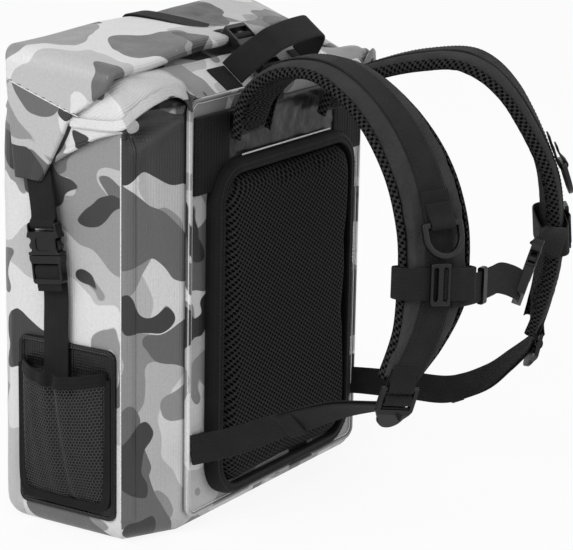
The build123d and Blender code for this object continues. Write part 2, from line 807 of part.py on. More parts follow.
def build_lock(side):
    """Ladder lock: hinge bar, webbing slots and a rounded thumb tab bent outwards."""
    plane = lock_plane(side)
    edge_on = Plane(plane.origin, x_dir=plane.y_dir, z_dir=plane.x_dir)
    with BuildPart() as lock:
        with BuildSketch(edge_on):
            with BuildLine():
                Polyline(
                    (0, -1.7), (21, -1.7), (37, -6), (37, -3), (22, 2), (6, 2), (4, 1.7),
                    (0, 1.7), close=True,
                )
            make_face()
            Circle(LOCK_BAR_R)
        extrude(amount=16.5, both=True)
        with BuildSketch(plane.offset(-12)) as outline:
            with BuildLine():
                Polyline((-16.5, 19), (-16.5, -2.4), (16.5, -2.4), (16.5, 19))
                Line((16.5, 19), (11, 27))
                ThreePointArc((11, 27), (0, 36), (-11, 27))
                Line((-11, 27), (-16.5, 19))
            make_face()
        extrude(amount=24, mode=Mode.INTERSECT)
        with BuildSketch(plane.offset(-12)):
            with Locations((0, 4.7)):
                Rectangle(26.4, 7.4)
            with Locations((0, 14.8)):
                Rectangle(26.4, 5.6)
        extrude(amount=24, mode=Mode.SUBTRACT)
    write(lock, f"ladder_lock_{side_name(side)}")


def build_slider(name, plane):
    """Flat three-bar slider: local X along its bars, local Y along the webbing."""
    with BuildPart() as slider:
        with BuildSketch(plane):
            RectangleRounded(33, 17, 2.5)
            with Locations((0, 4.2), (0, -4.2)):
                SlotOverall(26.4, 4, mode=Mode.SUBTRACT)
        extrude(amount=3)
        out = Axis(plane.origin, plane.z_dir)
        fillet(slider.faces().sort_by(out)[-1].edges(), 0.8)
    write(slider, name)


LOOP_INNER = (6.0, 25.0)      # added to the pad's width; full height across its thickness


def build_sternum_loop(side, station, slider_aside):
    """Webbing wrapped round the pad, closed by a slider on its outer face."""
    middle, across, travel, out = strap_frame(side, station)
    wide = strap_route(side)[station][4] + LOOP_INNER[0]
    with BuildPart() as loop:
        with BuildSketch(Plane(middle - travel * WEB_W / 2, x_dir=across, z_dir=travel)):
            SlotOverall(wide + 2 * WEB_T, LOOP_INNER[1] + 2 * WEB_T)
            SlotOverall(wide, LOOP_INNER[1], mode=Mode.SUBTRACT)
        extrude(amount=WEB_W)
    write(loop, f"sternum_loop_{side_name(side)}")
    height = LOOP_INNER[1] / 2 + WEB_T + SLIT
    origin = middle + out * height + across * slider_aside
    build_slider(
        f"sternum_slider_{side_name(side)}", Plane(origin, x_dir=travel, z_dir=out)
    )


for side in (1, -1):
    build_shoulder_pad(side)
    build_pad_webbing(side)
    build_ring(side)
    build_lock(side)
build_sternum_loop(1, NEAR_LOOP_STATION, 2)
build_sternum_loop(-1, FAR_LOOP_STATION, -14)

# ---------------------------------------------------------------- sternum strap

STERNUM_Y = 310.0
STERNUM_Z = 236.0
buckle_run = Vector(-34, -1, 38).normalized()
buckle_out = Vector(-0.35, 0.89, -0.29)
buckle_out = (buckle_out - buckle_run * buckle_out.dot(buckle_run)).normalized()
sternum_buckle = Plane(
    (-17, STERNUM_Y, 229), x_dir=buckle_run.cross(buckle_out), z_dir=buckle_out
)
build_buckle("sternum_buckle", sternum_buckle)


def build_span(name, sections, width=WEB_W):
    """A flat strap lofted through sections, each a centre, a width direction and a travel."""
    with BuildPart() as span:
        for centre, across, travel in sections:
            with BuildSketch(Plane(centre, x_dir=across, z_dir=travel)):
                Rectangle(width, WEB_T)
        loft()
    write(span, name)


across_x = Vector(-1, 0, 0)
buckle_width = sternum_buckle.x_dir * -1
male_foot = sternum_buckle.origin - buckle_run * (MALE_L + 4)
build_span("sternum_webbing", [
    *((Vector(x, STERNUM_Y, STERNUM_Z), Vector(0, 0, 1), across_x) for x in (71, 59, 47, 35)),
    (Vector(18, STERNUM_Y - 3, 225), Vector(-0.1, 0.1, 1), Vector(-1, 0, -0.1)),
    (male_foot, buckle_width, buckle_run),
])
female_head = sternum_buckle.origin + buckle_run * (FEMALE_L + 1.5)
far_middle, far_across, far_travel, far_out = strap_frame(-1, FAR_LOOP_STATION)
far_half = FAR_ROUTE[FAR_LOOP_STATION][4] / 2
far_edge = far_middle + far_across * (far_half + 6) + far_out * 6
build_span("sternum_webbing_far", [
    (female_head, buckle_width, buckle_run),
    (far_edge, far_travel * -1, far_across * -1),
])

with BuildPart() as sternum_keeper:
    with BuildSketch(Plane((62, STERNUM_Y, STERNUM_Z), x_dir=(0, 1, 0), z_dir=(1, 0, 0))):
        RectangleRounded(6, 30, 2)
        Rectangle(WEB_T + 0.8, WEB_W + 0.8, mode=Mode.SUBTRACT)
    extrude(amount=3, both=True)
write(sternum_keeper, "sternum_keeper")

# ---------------------------------------------------------------- lower webbings

# Each runs from the panel's edge seam to the ladder lock and doubles back as a free tail.
NEAR_RUN = [(131, 84, 74), (130, 125, 90), (126, 170, 112), (123, 218, 134)]
FAR_RUN = [(-131, 84, 68), (-129, 139, 74), (-127, 185, 79), (-124, 222, 98), (-121, 246, 119)]
TAIL_LIFT = 2.9           # middle of the webbing to the middle of the tail on it
TAIL_START = 2            # the tail's end lies over this point of the run


def lower_sections(side, points, lift):
    """Sections whose width turns from upright to the ladder lock's width on the way."""
    sections = []
    last = len(points) - 1
    for i, point in enumerate(points):
        travel = (points[min(i + 1, last)] - points[max(i - 1, 0)]).normalized()
        if i == 0:
            travel = Vector(0, 1, 0)
        share = i / last
        across = Vector(0, 0, 1) * (1 - share) + lock_plane(side).x_dir * (-side * share)
        across = (across - travel * across.dot(travel)).normalized()
        sections.append((point + travel.cross(across) * side * lift, across, travel))
    return sections


for side, run in ((1, NEAR_RUN), (-1, FAR_RUN)):
    lock = lock_plane(side)
    foot = lock.origin + lock.y_dir * 16 - lock.z_dir * 6.5
    points = [Vector(*p) for p in run] + [foot]
    build_span(f"lower_webbing_{side_name(side)}", lower_sections(side, points, 0))
    tail = lower_sections(side, points, TAIL_LIFT)[TAIL_START:]
    build_span(f"lower_webbing_tail_{side_name(side)}", tail)
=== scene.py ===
"""Roll-top tackle backpack in welded tarpaulin: the visible skin around its packed CAD frame.

Sizes in the tables below are in millimetres, and the settings hold theirs in metres. The frame
has its origin on the floor at the middle of the base, +Z up, +Y towards the wearer's back and X
across; the near side is +X.
"""
from functools import partial
from math import cos, pi, radians, sin

import bpy
import numpy as np
from mathutils import Matrix, Vector, noise


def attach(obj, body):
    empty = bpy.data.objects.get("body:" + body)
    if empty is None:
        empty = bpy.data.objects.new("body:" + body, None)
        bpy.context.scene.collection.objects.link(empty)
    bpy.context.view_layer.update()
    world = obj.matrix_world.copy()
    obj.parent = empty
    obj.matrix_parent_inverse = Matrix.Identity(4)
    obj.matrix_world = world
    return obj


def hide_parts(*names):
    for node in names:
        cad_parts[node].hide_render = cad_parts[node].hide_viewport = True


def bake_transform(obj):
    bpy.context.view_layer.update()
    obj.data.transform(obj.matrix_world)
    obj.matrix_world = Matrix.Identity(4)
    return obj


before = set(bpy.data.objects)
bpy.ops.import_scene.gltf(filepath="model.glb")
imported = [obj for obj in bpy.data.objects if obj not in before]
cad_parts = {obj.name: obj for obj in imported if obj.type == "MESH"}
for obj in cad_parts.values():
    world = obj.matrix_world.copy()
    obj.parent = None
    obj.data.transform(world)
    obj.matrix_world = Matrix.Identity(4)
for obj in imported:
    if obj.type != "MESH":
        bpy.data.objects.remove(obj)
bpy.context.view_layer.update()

bl_info = {
    "name": "Roll-top tackle backpack",
    "version": (1, 0, 0),
    "blender": (4, 5, 0),
    "location": "3D View > Sidebar > Backpack",
    "description": "Builds the fabric, webbing, padding and finishes of a roll-top tackle backpack",
    "category": "Object",
}

MM = 0.001
MAP = "UVMap"
SIDES = {1: "near", -1: "far"}

# ---------------------------------------------------------------- places shared with the CAD model

HALF_WIDTH = 185.5
FRONT_Y, BACK_Y = -80.0, 78.0
SHOULDER_Z, FRONT_SHOULDER_Z = 362.0, 348.0
# The rolled mouth's rear and front edges, y and z.
MOUTH_BACK, MOUTH_FRONT = (47.0, 386.0), (-62.0, 396.0)
# The rear corners are cut off slantwise, this much across the back and along the side.
REAR_CUT = (52.0, 26.0)
FRONT_CORNER_R, BASE_R = 27.0, 17.0
# Half width, middle height and half height of the panel, its pad and the band over the pad.
PANEL_HALF, PANEL_MID, PANEL_HALF_V = 133.4, 190.0, 176.0
PAD_HALF, PAD_MID, PAD_HALF_V = 109.5, 166.0, 144.0
BAND_MID, BAND_HALF_V = 319.5, 32.5
PANEL_FACE, PANEL_R = 81.0, 9.0
PAD_T, PAD_CORNER_R, BINDING_W = 15.0, 34.0, 9.0
# The mouth hangs lower on the far side, from these places at its front and rear edges.
DROOP_X, DROOP, DROOP_SOFT = (-125.0, -85.0), 0.4, 12.0
WEB_W, WEB_T = 25.0, 1.6
WEB_LIFT = 9.0      # a strap's middle to the webbing on its outer side
POCKET_Y, POCKET_Z = (-52.0, 47.0), (19.0, 165.0)
NET_Y, NET_Z, NET_BULGE = (-46.0, 39.0), (31.0, 142.0), 27.0
TOP_STRAP_X = 12.0

# Shoulder straps: x, y, z, swing of the width about Z in degrees, width.
NEAR_ROUTE = [
    (65, 94, 328, 0, 50), (66, 104, 364, 0, 56), (68, 136, 388, 2, 62), (72, 180, 391, 6, 64),
    (80, 226, 368, 14, 64), (88, 262, 330, 24, 64), (95, 282, 286, 32, 62),
    (100, 287, 243, 34, 60), (103, 286, 226, 35, 58), (110, 280, 197, 35, 46),
    (117, 266.5, 165, 33, 34),
]
FAR_ROUTE = [
    (-65, 94, 328, 0, 50), (-66, 107, 352, 0, 56), (-67, 136, 368, 2, 62),
    (-69.5, 182, 382, 6, 64), (-73, 225, 385, 12, 64), (-79, 257, 360, 22, 64),
    (-91, 286, 300, 32, 62), (-98, 290, 247, 34, 60), (-103, 287, 222, 35, 58),
    (-110, 277, 187, 35, 46), (-116, 266, 156, 33, 34),
]
RING_STATION, LOOP_STATION, LOCK_STATION = 6, 7, 10


def unit(v):
    """A vector at length 1."""
    v = np.asarray(v, float)
    return v / np.linalg.norm(v)


def units(rows):
    """Each of many vectors at length 1."""
    return rows / np.linalg.norm(rows, axis=-1, keepdims=True)


class Place:
    """A point with a width direction, a run direction and an outward one."""

    def __init__(self, origin, across, out):
        self.o = np.asarray(origin, float)
        self.x = unit(across)
        self.z = unit(np.asarray(out, float) - self.x * np.dot(out, self.x))
        self.y = np.cross(self.z, self.x)

    def at(self, u, v, w):
        return self.o + self.x * u + self.y * v + self.z * w


def panel_place(x, z):
    """A place on the back panel's face, u to the wearer's left, v up, w towards the wearer."""
    return Place((x, PANEL_FACE, z), (-1, 0, 0), (0, 1, 0))


def strap_route(side):
    return NEAR_ROUTE if side > 0 else FAR_ROUTE


def strap_station(side, station):
    """Middle, width, travel and outward directions of a shoulder strap."""
    route = strap_route(side)
    x, y, z, swing, _ = route[station]
    a, b = route[max(station - 1, 0)], route[min(station + 1, len(route) - 1)]
    travel = unit(np.subtract(b[:3], a[:3]))
    across = np.array((cos(radians(swing)), -side * sin(radians(swing)), 0.0))
    across = unit(across - travel * across.dot(travel))
    return np.array((x, y, z), float), across, travel, np.cross(across, travel)


def on_strap(side, station, height, along=0.0):
    """Place on a strap's outer side: x across, y down the strap, z outwards."""
    middle, across, travel, out = strap_station(side, station)
    return Place(middle + out * height + travel * along, across, out)


def lock_place(side):
    """Where a ladder lock hangs: origin on its top bar, y down the lock."""
    flat, turn = on_strap(side, LOCK_STATION, 10.3, along=3), radians(12)
    return Place(flat.o, flat.x * cos(turn) + flat.y * side * sin(turn), flat.z)


def side_buckle_place(side):
    """Where a side buckle hangs, leaning back a little."""
    tilt = radians(8)
    up, out = np.array((0, -sin(tilt), cos(tilt))), np.array((side, 0, 0))
    return Place((side * (HALF_WIDTH + 8), -16, 238.5), np.cross(up, out), out)


# The roof's slope behind the roll, down towards the wearer, and the buckles' places.
SLOPE = unit((0, BACK_Y - MOUTH_BACK[0], SHOULDER_Z - MOUTH_BACK[1]))
SLOPE_OUT = np.array((0, -SLOPE[2], SLOPE[1]))
TOP_BUCKLE = Place((TOP_STRAP_X, 58, 392), np.cross(SLOPE, SLOPE_OUT), SLOPE_OUT)
BUCKLE_RUN = unit((-34, -1, 38))
BUCKLE_OUT = np.array((-0.35, 0.89, -0.29))
BUCKLE_OUT = unit(BUCKLE_OUT - BUCKLE_RUN * BUCKLE_OUT.dot(BUCKLE_RUN))
STERNUM_BUCKLE = Place((-17, 310, 229), np.cross(BUCKLE_RUN, BUCKLE_OUT), BUCKLE_OUT)
BUCKLE_WIDTH = -STERNUM_BUCKLE.x


# ---------------------------------------------------------------- settings


def hex_colour(text):
    """sRGB hex to the linear colour that a shader takes."""
    parts = [int(text[i:i + 2], 16) / 255 for i in (1, 3, 5)]
    linear = [c / 12.92 if c <= 0.04045 else ((c + 0.055) / 1.055) ** 2.4 for c in parts]
    return (*linear, 1.0)


def colour(name, description, text):
    return bpy.props.FloatVectorProperty(
        name=name, description=description, default=hex_colour(text), size=4,
        subtype="COLOR", min=0, max=1,
    )


def size(name, description, millimetres):
    return bpy.props.FloatProperty(
        name=name, description=description, default=millimetres * MM, unit="LENGTH", min=0,
        precision=4,
    )


def share(name, description, value):
    return bpy.props.FloatProperty(
        name=name, description=description, default=value, subtype="FACTOR", min=0, max=1,
    )


class BackpackColours(bpy.types.PropertyGroup):
    """Colours of the cloths, the webbing and the fittings."""

    camo_white: colour("Camouflage white", "Palest of the five greys of the tarpaulin", "#d2d2d2")
    camo_light: colour("Camouflage light", "Ground grey of the tarpaulin", "#b2b2b2")
    camo_mid: colour("Camouflage mid", "Middle grey of the tarpaulin", "#888888")
    camo_dark: colour("Camouflage dark", "Dark grey of the tarpaulin", "#5e5e5e")
    camo_black: colour("Camouflage black", "Near-black of the tarpaulin", "#2b2b2b")
    # This colour is also used for the painted highlight along the pad's top edge.
    scrim: colour("Cut edge", "Base cloth that shows at cut and welded edges", "#e4e4e4")
    black_tarpaulin: colour("Black tarpaulin", "Pocket patches", "#090909")
    webbing: colour("Webbing", "Polyester webbing", "#121212")
    binding: colour("Binding", "Folded tape round the pads", "#0f0f0f")
    thread: colour("Thread", "Sewing thread", "#262626")
    net: colour("Net", "Pocket net", "#525252")
    mesh: colour("Spacer mesh", "Padded side against the wearer", "#1c1c1c")
    pad: colour("Strap cloth", "Outer side of the shoulder straps", "#282828")
    plastic: colour("Fittings", "Buckles, rings and locks", "#0c0c0c")
    stiffener: colour("Stiffener", "Hidden sheet and mouth strip", "#9a9d9f")
    backdrop: colour("Floor", "Floor and backdrop", "#f4f4f4")


class BackpackSizes(bpy.types.PropertyGroup):
    """Sizes that a maker would change."""

    blob: size("Camouflage patch", "Typical width of one patch of the pattern", 74)
    scrim_pitch: size("Scrim pitch", "Spacing of the threads that show through the coating", 2.4)
    rib_pitch: size("Webbing rib", "Spacing of the ribs across the webbing", 1.9)
    cloth_pitch: size("Cloth pitch", "Thread spacing of the strap cloth", 1.1)
    mesh_pitch: size("Mesh pitch", "Spacing of the holes of the spacer mesh", 3.9)
    net_pitch: size("Net pitch", "Width of one cell of the pocket net", 3.3)
    net_thread: size("Net thread", "Thickness of the pocket net's threads", 0.64)
    stitch_pitch: size("Stitch pitch", "Spacing of the stitches", 3.4)
    stitch_length: size("Stitch length", "Length of one stitch", 2.3)
    stitch_width: size("Stitch width", "Thickness of the sewing thread", 0.55)
    seam_bead: size("Weld bead", "Width of the raised edge of a welded seam", 1.1)
    crease: size("Crease depth", "Depth of the soft creases in the tarpaulin", 1.5)
    voxel: size("Padding voxel", "Grid size of the padding before it is blown up", 5)
    swell: size("Padding swell", "Most that a point of the padding may move", 5)


class BackpackStudio(bpy.types.PropertyGroup):
    """Light and camera."""

    world: share("World light", "Strength of the light from all round", 0.62)
    key: bpy.props.FloatProperty(
        name="Key light", description="Power of the main softbox", default=33, unit="POWER", min=0)
    fill: bpy.props.FloatProperty(
        name="Fill light", description="Power of the second softbox", default=16, unit="POWER",
        min=0)
    lens: bpy.props.FloatProperty(
        name="Lens", description="Focal length", default=146.1, unit="CAMERA", min=10)


def setting(group):
    """The scene's colours, sizes or studio settings."""
    return getattr(bpy.context.scene, f"backpack_{group}")


# ---------------------------------------------------------------- mesh tools


def run_along(points):
    """How far each point lies along the line through all of them."""
    return np.r_[0, np.cumsum(np.linalg.norm(np.diff(points, axis=0), axis=1))]


def read_off(want, have, rows):
    """The rows that stand at have, read off between them at want."""
    return np.column_stack([np.interp(want, have, column) for column in np.asarray(rows).T])


def spread(rows, count):
    """The rows, taken as evenly spaced, read off at count even places."""
    return read_off(np.linspace(0, 1, count), np.linspace(0, 1, len(rows)), rows)


def smooth_rows(rows, step):
    """Evenly spaced rows along a smooth line; the first three numbers of a row are its point."""
    p = np.array(rows, float)
    p = np.vstack([2 * p[0] - p[1], p, 2 * p[-1] - p[-2]])
    dense = []
    t = np.linspace(0, 1, 24, endpoint=False)[:, None]
    for a, b, c, d in zip(p, p[1:], p[2:], p[3:]):
        dense.append(
            0.5 * (2 * b + (c - a) * t + (2 * a - 5 * b + 4 * c - d) * t**2
                   + (3 * b - a - 3 * c + d) * t**3)
        )
    dense = np.vstack([*dense, p[-2:-1]])
    run = run_along(dense[:, :3])
    return read_off(np.linspace(0, run[-1], max(2, round(run[-1] / step) + 1)), run, dense)


def ripple(p, span, seed=0.0):
    """Smooth noise from -1 to 1 at a point, with bumps about span across."""
    x, y, z = (c / span for c in p)
    return noise.noise(Vector((x + seed, y - seed * 1.7, z + seed * 0.6)))


def bell(x, middle, width):
    """A smooth bump of height 1."""
    return np.exp(-((x - middle) / width) ** 2)


def step_up(low, high, x):
    """A smooth step from 0 at low to 1 at high."""
    t = np.clip((np.asarray(x, float) - low) / (high - low), 0, 1)
    return t * t * (3 - 2 * t)


def add_object(name, data):
    """An object in the scene that holds a mesh, a lamp or a camera."""
    made = bpy.data.objects.new(name, data)
    bpy.context.scene.collection.objects.link(made)
    return made


def make_piece(name, points, faces, finishes, uv=None, slots=None, out=None):
    """A mesh piece from points in millimetres, its faces turned outwards, or towards out."""
    points = np.asarray(points, float)
    quads = [np.asarray(f) for f in faces]
    if out is None:
        turn = sum(
            np.dot(points[f[0]], np.cross(points[f[i]], points[f[i + 1]]))
            for f in quads for i in range(1, len(f) - 1)
        )
    else:
        turn = sum(
            np.dot(out, np.cross(points[f[1]] - points[f[0]], points[f[2]] - points[f[0]]))
            for f in quads
        )
    if turn < 0:
        quads = [f[::-1] for f in quads]
        uv = None if uv is None else [corner[::-1] for corner in uv]
    mesh = bpy.data.meshes.new(name)
    mesh.from_pydata((points * MM).tolist(), [], [f.tolist() for f in quads])
    for finish in (finishes,) if isinstance(finishes, str) else finishes:
        mesh.materials.append(bpy.data.materials[finish])
    if slots is not None:
        mesh.polygons.foreach_set("material_index", np.asarray(slots, np.int32))
    mesh.polygons.foreach_set("use_smooth", [True] * len(quads))
    if uv is not None:
        flat = np.array([c for corners in uv for c in corners], np.float32) * MM
        mesh.uv_layers.new(name=MAP).data.foreach_set("uv", flat.ravel())
    mesh.update()
    return add_object(name, mesh)


def grid_faces(rows, cols, closed, uv_rows):
    """Quads of a grid of rows by cols, joined round each row if closed, with their UVs."""
    faces, corners = [], []
    for i in range(rows - 1):
        low, high = uv_rows[i], uv_rows[i + 1]
        for j in range(cols if closed else cols - 1):
            k = (j + 1) % cols
            faces.append((i * cols + j, i * cols + k, (i + 1) * cols + k, (i + 1) * cols + j))
            corners.append((low[j], low[j + 1], high[j + 1], high[j]))
    return faces, corners


def map_rows(u, v):
    """UVs of a grid from the u of each of its points and one v for each row."""
    return np.stack([u, v[:, None] + np.zeros_like(u)], axis=2)


def skin(name, rings, finishes, closed=True, caps=True, uv=None, slots=None, out=None):
    """A surface through rings of points: a closed body with caps, or an open sheet.

    slots tells which of the finishes a face wears, from its row and column.
    """
    rings = np.asarray(rings, float)
    rows, cols = rings.shape[:2]
    if uv is None:
        loop = np.concatenate([rings, rings[:, :1]], axis=1) if closed else rings
        du = np.linalg.norm(np.diff(loop, axis=1), axis=2)
        dv = np.linalg.norm(np.diff(rings, axis=0), axis=2).mean(1)
        u = np.concatenate([np.zeros((rows, 1)), np.cumsum(du, axis=1)], axis=1)
        uv = map_rows(u, np.r_[0, np.cumsum(dv)])
    faces, corners = grid_faces(rows, cols, closed, uv)
    chosen = None if slots is None else [slots(i, j) for i in range(rows - 1)
                                         for j in range(cols if closed else cols - 1)]
    if closed and caps:
        for i, turn in ((0, -1), (rows - 1, 1)):
            faces.append([i * cols + j for j in range(cols)][::turn])
            corners.append([tuple(uv[i][j]) for j in range(cols)][::turn])
            if chosen is not None:
                chosen.append(chosen[-1] if i else chosen[0])
    return make_piece(name, rings.reshape(-1, 3), faces, finishes, corners, chosen, out)


def strap_rows(rows, step):
    """Even rows of a strap: centre, width direction, outward direction, width, run so far."""
    line = smooth_rows(rows, step)
    centre, width = line[:, :3], line[:, 6]
    travel = units(np.gradient(centre, axis=0))
    across = line[:, 3:6] - travel * np.sum(line[:, 3:6] * travel, axis=1)[:, None]
    across = units(across)
    return centre, across, np.cross(across, travel), width, run_along(centre)


# The outer half of a webbing's section: share of the width, share of the thickness.
SELVEDGE = [(-0.5, 0.0), (-0.488, 0.34), (-0.462, 0.5), (-0.4, 0.52), (-0.2, 0.5), (0.0, 0.5),
            (0.2, 0.5), (0.4, 0.52), (0.462, 0.5), (0.488, 0.34), (0.5, 0.0)]


def webbing(name, rows, thick=WEB_T, step=2.0, finish="polyester_webbing"):
    """Flat webbing with rounded selvedges along rows of x, y, z, width direction and width."""
    centre, across, out, width, run = strap_rows(rows, step)
    a, h = np.array(SELVEDGE + [(a, -h) for a, h in SELVEDGE[-2:0:-1]]).T
    rings = (centre[:, None] + across[:, None] * (a[None, :, None] * width[:, None, None])
             + out[:, None] * (h[None, :, None] * thick))
    u = (np.r_[a, a[0]][None, :] + 0.5) * width[:, None]
    return skin(name, rings, finish, uv=map_rows(u, run))


def strap_line(rows, aside, lift, start, end):
    """A sewing line on a strap: aside of its middle, lift off it, inset from both ends."""
    centre, across, out, _, run = strap_rows(rows, 2.0)
    keep = (run >= start) & (run <= run[-1] - end)
    return (centre + across * aside + out * lift)[keep]


def rounded_outline(half_u, half_v, radius, count):
    """Rounded rectangle as even points, anticlockwise from the middle of its right side."""
    radius = max(min(radius, half_u - 0.01, half_v - 0.01), 0.01)
    line = [(half_u, 0.0)]
    for cu, cv, first in ((1, 1, 0), (-1, 1, 90), (-1, -1, 180), (1, -1, 270)):
        for turn in np.linspace(first, first + 90, 13):
            line.append((cu * (half_u - radius) + radius * cos(radians(turn)),
                         cv * (half_v - radius) + radius * sin(radians(turn))))
    line.append((half_u, 0.0))
    run = run_along(line)
    return read_off(np.linspace(0, run[-1], count, endpoint=False), run, line)


def rim_line(place, half_u, half_v, radius, lift, count):
    """The rounded outline, lift off a place."""
    return [place.at(u, v, lift) for u, v in rounded_outline(half_u, half_v, radius, count)]


def relief(name, place, half_u, half_v, radius, height, finish, insets, count):
    """A panel with a rounded outline, its height given by height(inset, u, v) on nested rings."""
    rings = [rim_line(place, half_u, half_v, radius, 0.0, count)]
    uv = []
    for inset in insets:
        lap = rounded_outline(half_u - inset, half_v - inset, radius - inset, count)
        rings.append([place.at(u, v, height(inset, u, v)) for u, v in lap])
        uv.append([*lap, lap[0]])
    return skin(name, rings, finish, uv=np.array([uv[0], *uv]))


def tube(name, line, radius, finish, closed=False, sides=8, step=2.0):
    """A round bead along a line."""
    pts = smooth_rows([*line, line[0]] if closed else line, step)
    travel = np.gradient(pts, axis=0)
    if closed:
        travel[0] = travel[-1] = pts[1] - pts[-2]
    travel = units(travel)
    # Any direction that no bead of the bag follows gives the section its start.
    side = units(np.cross(travel, (0.31, 0.27, 0.91)))
    other = np.cross(travel, side)
    turns = np.linspace(0, 2 * pi, sides, endpoint=False)[None, :, None]
    rings = pts[:, None] + radius * (side[:, None] * np.cos(turns) + other[:, None] * np.sin(turns))
    return skin(name, rings, finish)


def join(name, pieces):
    """Several meshes as one piece."""
    bpy.ops.object.select_all(action="DESELECT")
    for p in pieces:
        p.select_set(True)
    bpy.context.view_layer.objects.active = pieces[0]
    bpy.ops.object.join()
    pieces[0].name = pieces[0].data.name = name
    return pieces[0]


def dressed(piece, slot, *replaced):
    """The piece, once it has its material slot and the CAD nodes that it replaces."""
    if replaced:
        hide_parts(*replaced)
    return piece


# ---------------------------------------------------------------- material tools


def add_node(tree, kind, *values, out=0, **words):
    """Adds a node and gives back one of its outputs.

    The values fill its inputs in order. A word in small letters is a setting of the node, and one
    with a capital is an input, by its identifier with _ for a space. A socket is linked, and
    anything else is filled in. A kind without its prefix is a shader node.
    """
    made = tree.nodes.new(kind if "Node" in kind else f"ShaderNode{kind}")
    inputs = dict(enumerate(values))
    for word, value in words.items():
        if word[0].isupper():
            inputs[word] = value
        else:
            setattr(made, word, value)
    known = {socket.identifier.replace(" ", "_"): socket for socket in made.inputs}
    for at, value in inputs.items():
        socket = made.inputs[at] if isinstance(at, int) else known[at]
        if isinstance(value, bpy.types.NodeSocket):
            tree.links.new(value, socket)
        else:
            socket.default_value = value
    return made.outputs[out] if made.outputs else None


# A noise's Scale is its cells to the metre: 26 is one about every 38 mm, 2600 one every 0.4 mm.


def new_material(name):
    """An empty material, as the function that adds nodes to it.

    The frame's own slots have materials too, so a finish never shares a slot's name.
    """
    if name in bpy.data.materials:
        raise ValueError(f"material name {name} is taken")
    made = bpy.data.materials.new(name)
    made.use_nodes = True
    made.node_tree.nodes.clear()
    return partial(add_node, made.node_tree)


def ribs(add, coordinate, pitch):
    """A wave from -1 to 1 along one coordinate, a crest every pitch."""
    turned = add("Math", coordinate, 2 * pi / pitch, operation="MULTIPLY")
    return add("Math", turned, operation="SINE")


def tarpaulin_relief(add):
    """Scrim threads under the coating with its faint waviness, and the map that they lie on."""
    pitch = setting("sizes").scrim_pitch
    flat = add("UVMap", uv_map=MAP)
    across, along = add("SeparateXYZ", flat).node.outputs[:2]
    warp = add("Math", ribs(add, across, pitch), 0.65, operation="MULTIPLY")
    weft = add("Math", ribs(add, along, pitch), 0.25, operation="MULTIPLY")
    weave = add("Math", warp, weft, operation="ADD")
    waves = add("TexNoise", flat, Scale=26.0, Detail=2.0)
    soft = add("Math", waves, 5.0, operation="MULTIPLY")
    return add("Math", weave, soft, operation="ADD"), flat


# Colour, shift and stretch of a layer of patches, and the noise level above which it is printed.
CAMO_LAYERS = [
    ("camo_white", (0.0, 0.0, 0.0), (0.95, 0.95, 0.8), 0.54),
    ("camo_mid", (1.3, 0.7, 2.1), (0.9, 0.9, 1.15), 0.558),
    ("camo_dark", (3.1, 2.4, 0.6), (1.0, 1.0, 1.2), 0.59),
    ("camo_black", (5.7, 1.9, 4.2), (1.2, 1.2, 1.3), 0.63),
]
PRINT_EDGE = 0.002      # half the noise range over which one print colour meets the next


def camouflage_tarpaulin(name, shift, turn=0.0):
    """PVC-coated polyester tarpaulin, printed and calendered.

    The coating gives a soft gloss with broad highlights, the scrim a fine ribbed grain, and the
    print has hard-edged patches in five greys. The scrim's threads, about 1.3 mm apart in the
    cloth, are drawn at the scrim pitch so that they show.
    """
    colours, blob = setting("colours"), setting("sizes").blob
    add = new_material(name)
    placed = add("Mapping", add("TexCoord", out="Object"), Location=shift,
                 Rotation=(turn, turn * 0.6, 0.0))
    warp = add("TexNoise", placed, Scale=0.8 / blob, Detail=2.0, Roughness=0.45, out=1)
    centred = add("VectorMath", warp, (0.5, 0.5, 0.5), operation="SUBTRACT")
    pushed = add("VectorMath", centred, Scale=blob * 1.5, operation="SCALE")
    bent = add("VectorMath", placed, pushed, operation="ADD")
    printed = colours.camo_light
    for patch, away, stretch, edge in CAMO_LAYERS:
        spot = add("Mapping", bent, Location=away, Scale=stretch)
        field = add("TexNoise", spot, Scale=1.05 / blob, Detail=0.0)
        inside = add("MapRange", field, edge - PRINT_EDGE, edge + PRINT_EDGE)
        printed = add("Mix", inside, A_Color=printed, B_Color=getattr(colours, patch), out=2,
                      data_type="RGBA")
    height, flat = tarpaulin_relief(add)
    grain = add("TexNoise", flat, Scale=420.0, Detail=2.0)
    mottled = add("Mix", 1.0, A_Color=printed, B_Color=add("MapRange", grain, 0.3, 0.7, 0.93, 1.03),
                  out=2, data_type="RGBA", blend_type="MULTIPLY")
    wear = add("TexNoise", flat, Scale=55.0, Detail=3.0)
    add("OutputMaterial", add(
        "BsdfPrincipled", Base_Color=mottled, IOR=1.5,
        Roughness=add("MapRange", wear, 0.3, 0.7, 0.36, 0.5),
        Normal=add("Bump", Height=height, Distance=0.00012)))


def coated_black(name, tone, glossy, scrim):
    """Black PVC tarpaulin or coated nylon: glossier than the print, with a leathery ripple."""
    add = new_material(name)
    height, flat = tarpaulin_relief(add)
    leather = add("TexNoise", flat, Scale=130.0, Detail=3.0)
    tint = add("Mix", leather, A_Color=tone, B_Color=hex_colour("#141414"), out=2, data_type="RGBA")
    threads = add("Math", height, scrim, operation="MULTIPLY")
    rippled = add("Math", leather, 3.0, operation="MULTIPLY")
    grain = add("Math", threads, rippled, operation="ADD")
    add("OutputMaterial", add(
        "BsdfPrincipled", Base_Color=tint, IOR=1.36,
        Roughness=add("MapRange", leather, 0.3, 0.7, glossy, glossy + 0.14),
        Normal=add("Bump", Height=grain, Distance=0.0002)))


